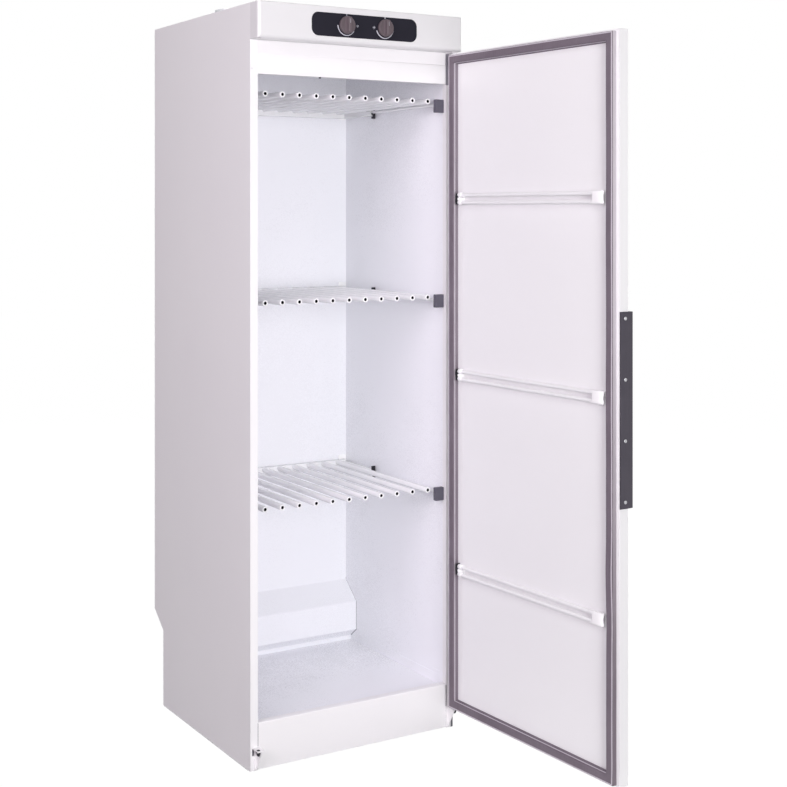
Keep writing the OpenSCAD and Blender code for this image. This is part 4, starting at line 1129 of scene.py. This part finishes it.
def gapStrips(g=gaps):
    # dark strips painted as shade in the gaps beside the plinth and beside the hinge's foot, and one painted as
    # the shadow under the fascia's corner
    front = cadSpan("left_side_panel")[0][1]
    strips = [patchPlate(*g[place], front, 0.12, 0.5) for place in ("left", "right", "foot")]
    settle("plinthGapShades", Shape(*strips), "cabinet", "dark_plastic", finish="seam_and_shade_grey")
    chip = patchPlate(*g["fascia"], cadSpan("fascia")[0][1] + g["fasciaBack"], 0.4, 0.6)
    settle("fasciaCornerShadow", Shape(chip), "cabinet", "dark_plastic", finish="seam_and_shade_grey")


gapStrips()

holder = {  # inner and outer edge from the middle, low and high edge from the tubes, thickness
    "plate": (252, 276.8, -20, 18, 2.3), "edge": (248.6, 252.6, -7, 6, 2.0),
}


def railHolders(h=holder):
    # what holds the rails on the back wall: pale plates, each with a dark inner edge
    back = cadSpan("inner_back_wall")[1][1] - backWall["sheet"]
    for name, part, slotName, finish in (("railHolders", "plate", "white_plastic", "grip_white"),
                                         ("holderEdges", "edge", "dark_plastic", None)):
        x0, x1, z0, z1, lift = h[part]
        shape = Shape()
        for level in [rackLevel(key) for key in ("low", "mid", "top")]:
            for ends in ((-x1, -x0), (x0, x1)):
                shape.grid(patchPlate(*ends, level + z0, level + z1, back, lift, 0.7))
        settle(name, shape, "cabinet", slotName, finish=finish)


railHolders()

trayTabs = {
    "places": (83.5, -58.8), "long": 11, "tall": 7, "top": 131, "lift": 0.7,
    "recess": (-262, -216, 120, 141),
}


def trayFittings(t=trayTabs):
    # pressed tabs that hold the tray's flange to the side walls, and a shallow dish near the front
    inner = cadSpan("inner_right_wall")[0][0]
    half = t["long"] / 2
    shape = Shape()
    for side in (-1, 1):
        for y in t["places"]:
            shape.grid(patchPlate(y - half, y + half, t["top"] - t["tall"], t["top"] + 2,
                                  side * (inner - 1.2), t["lift"], 1.6, 0, -side))
        shape.grid(patchPlate(*t["recess"], side * inner, 0.6, 4.0, 0, -side))
    settle("trayTabs", shape, "cabinet", "inner_enamel")


trayFittings()

louvres = {"rows": 7, "pitch": 16, "wide": 78, "tall": 9, "lift": 2.6, "x": (-120, 120), "low": 1560}


def backLouvres(l=louvres):
    # rows of pressed hoods on the back panel: quarter-ellipse bumps that open downwards
    face = cadSpan("back_panel")[1][1]
    across, down = np.meshgrid(np.linspace(-1, 1, 21), np.linspace(0, 1, 9), indexing="ij")
    swell = (1 - np.abs(across) ** 3) * np.sqrt(np.clip(1 - down ** 2, 0, 1))
    wide, out, tall = across * l["wide"] / 2, face + swell * l["lift"], down * l["tall"]
    shape = Shape()
    for x in l["x"]:
        for z in l["low"] + np.arange(l["rows"]) * l["pitch"]:
            # the hood is a shell: its outer skin, and the inner skin run backwards
            top = np.stack([x + wide, out, z + tall], -1)
            shape.grid(closed(np.concatenate([top, (top - (0, 1, 0))[:, ::-1]], 1)))
    settle("backLouvres", shape, "cabinet", "galvanised", crease=40)


backLouvres()
print("fittings made")


# floor

def addFloor(r):
    # a pale floor that the camera sees almost white, with the cabinet's own faint shadow
    data = bpy.data.meshes.new("floor")
    half = r["floorHalf"]
    corners = [(-half, -half, 0), (half, -half, 0), (half, half, 0), (-half, half, 0)]
    data.from_pydata(corners, [], [(0, 1, 2, 3)])
    made = Finish("floor_paper", r["floorColour"], 0.9)
    glow = made.node("ShaderNodeEmission", None, {"Color": (1, 1, 1, 1), "Strength": r["floorGlow"]})
    seen = made.lookedAt()
    grain = made.noise(180, 3.0)
    made.feed("Base Color", made.mixed(grain, r["floorColour"], [c * 0.97 for c in r["floorColour"]]))
    paper = Wire(made.tree, made.shader.outputs[0])
    both = made.node("ShaderNodeMixShader", None, {0: seen * r["floorMix"], 1: paper, 2: glow["Emission"]})
    made.tree.links.new(both["Shader"].socket, made.tree.nodes["Material Output"].inputs["Surface"])
    data.materials.append(made.material)
    addObject("floor", data)


def addWorld(r):
    # white where the camera, gloss and glass look, and a plain soft level on everything else
    world = bpy.data.worlds.new("room")
    world.use_nodes = True
    bpy.context.scene.world = world
    sky = Nodes(world.node_tree)
    light = sky.tree.nodes["Background"]
    light.inputs["Color"].default_value = (1, 1, 1, 1)
    level = sky.lookedAt() * (1 - r["ambient"]) + r["ambient"]
    sky.tree.links.new(level.socket, light.inputs["Strength"])


addFloor(room)
addWorld(room)
bpy.context.scene.view_settings.view_transform = "Standard"
print("room lit")
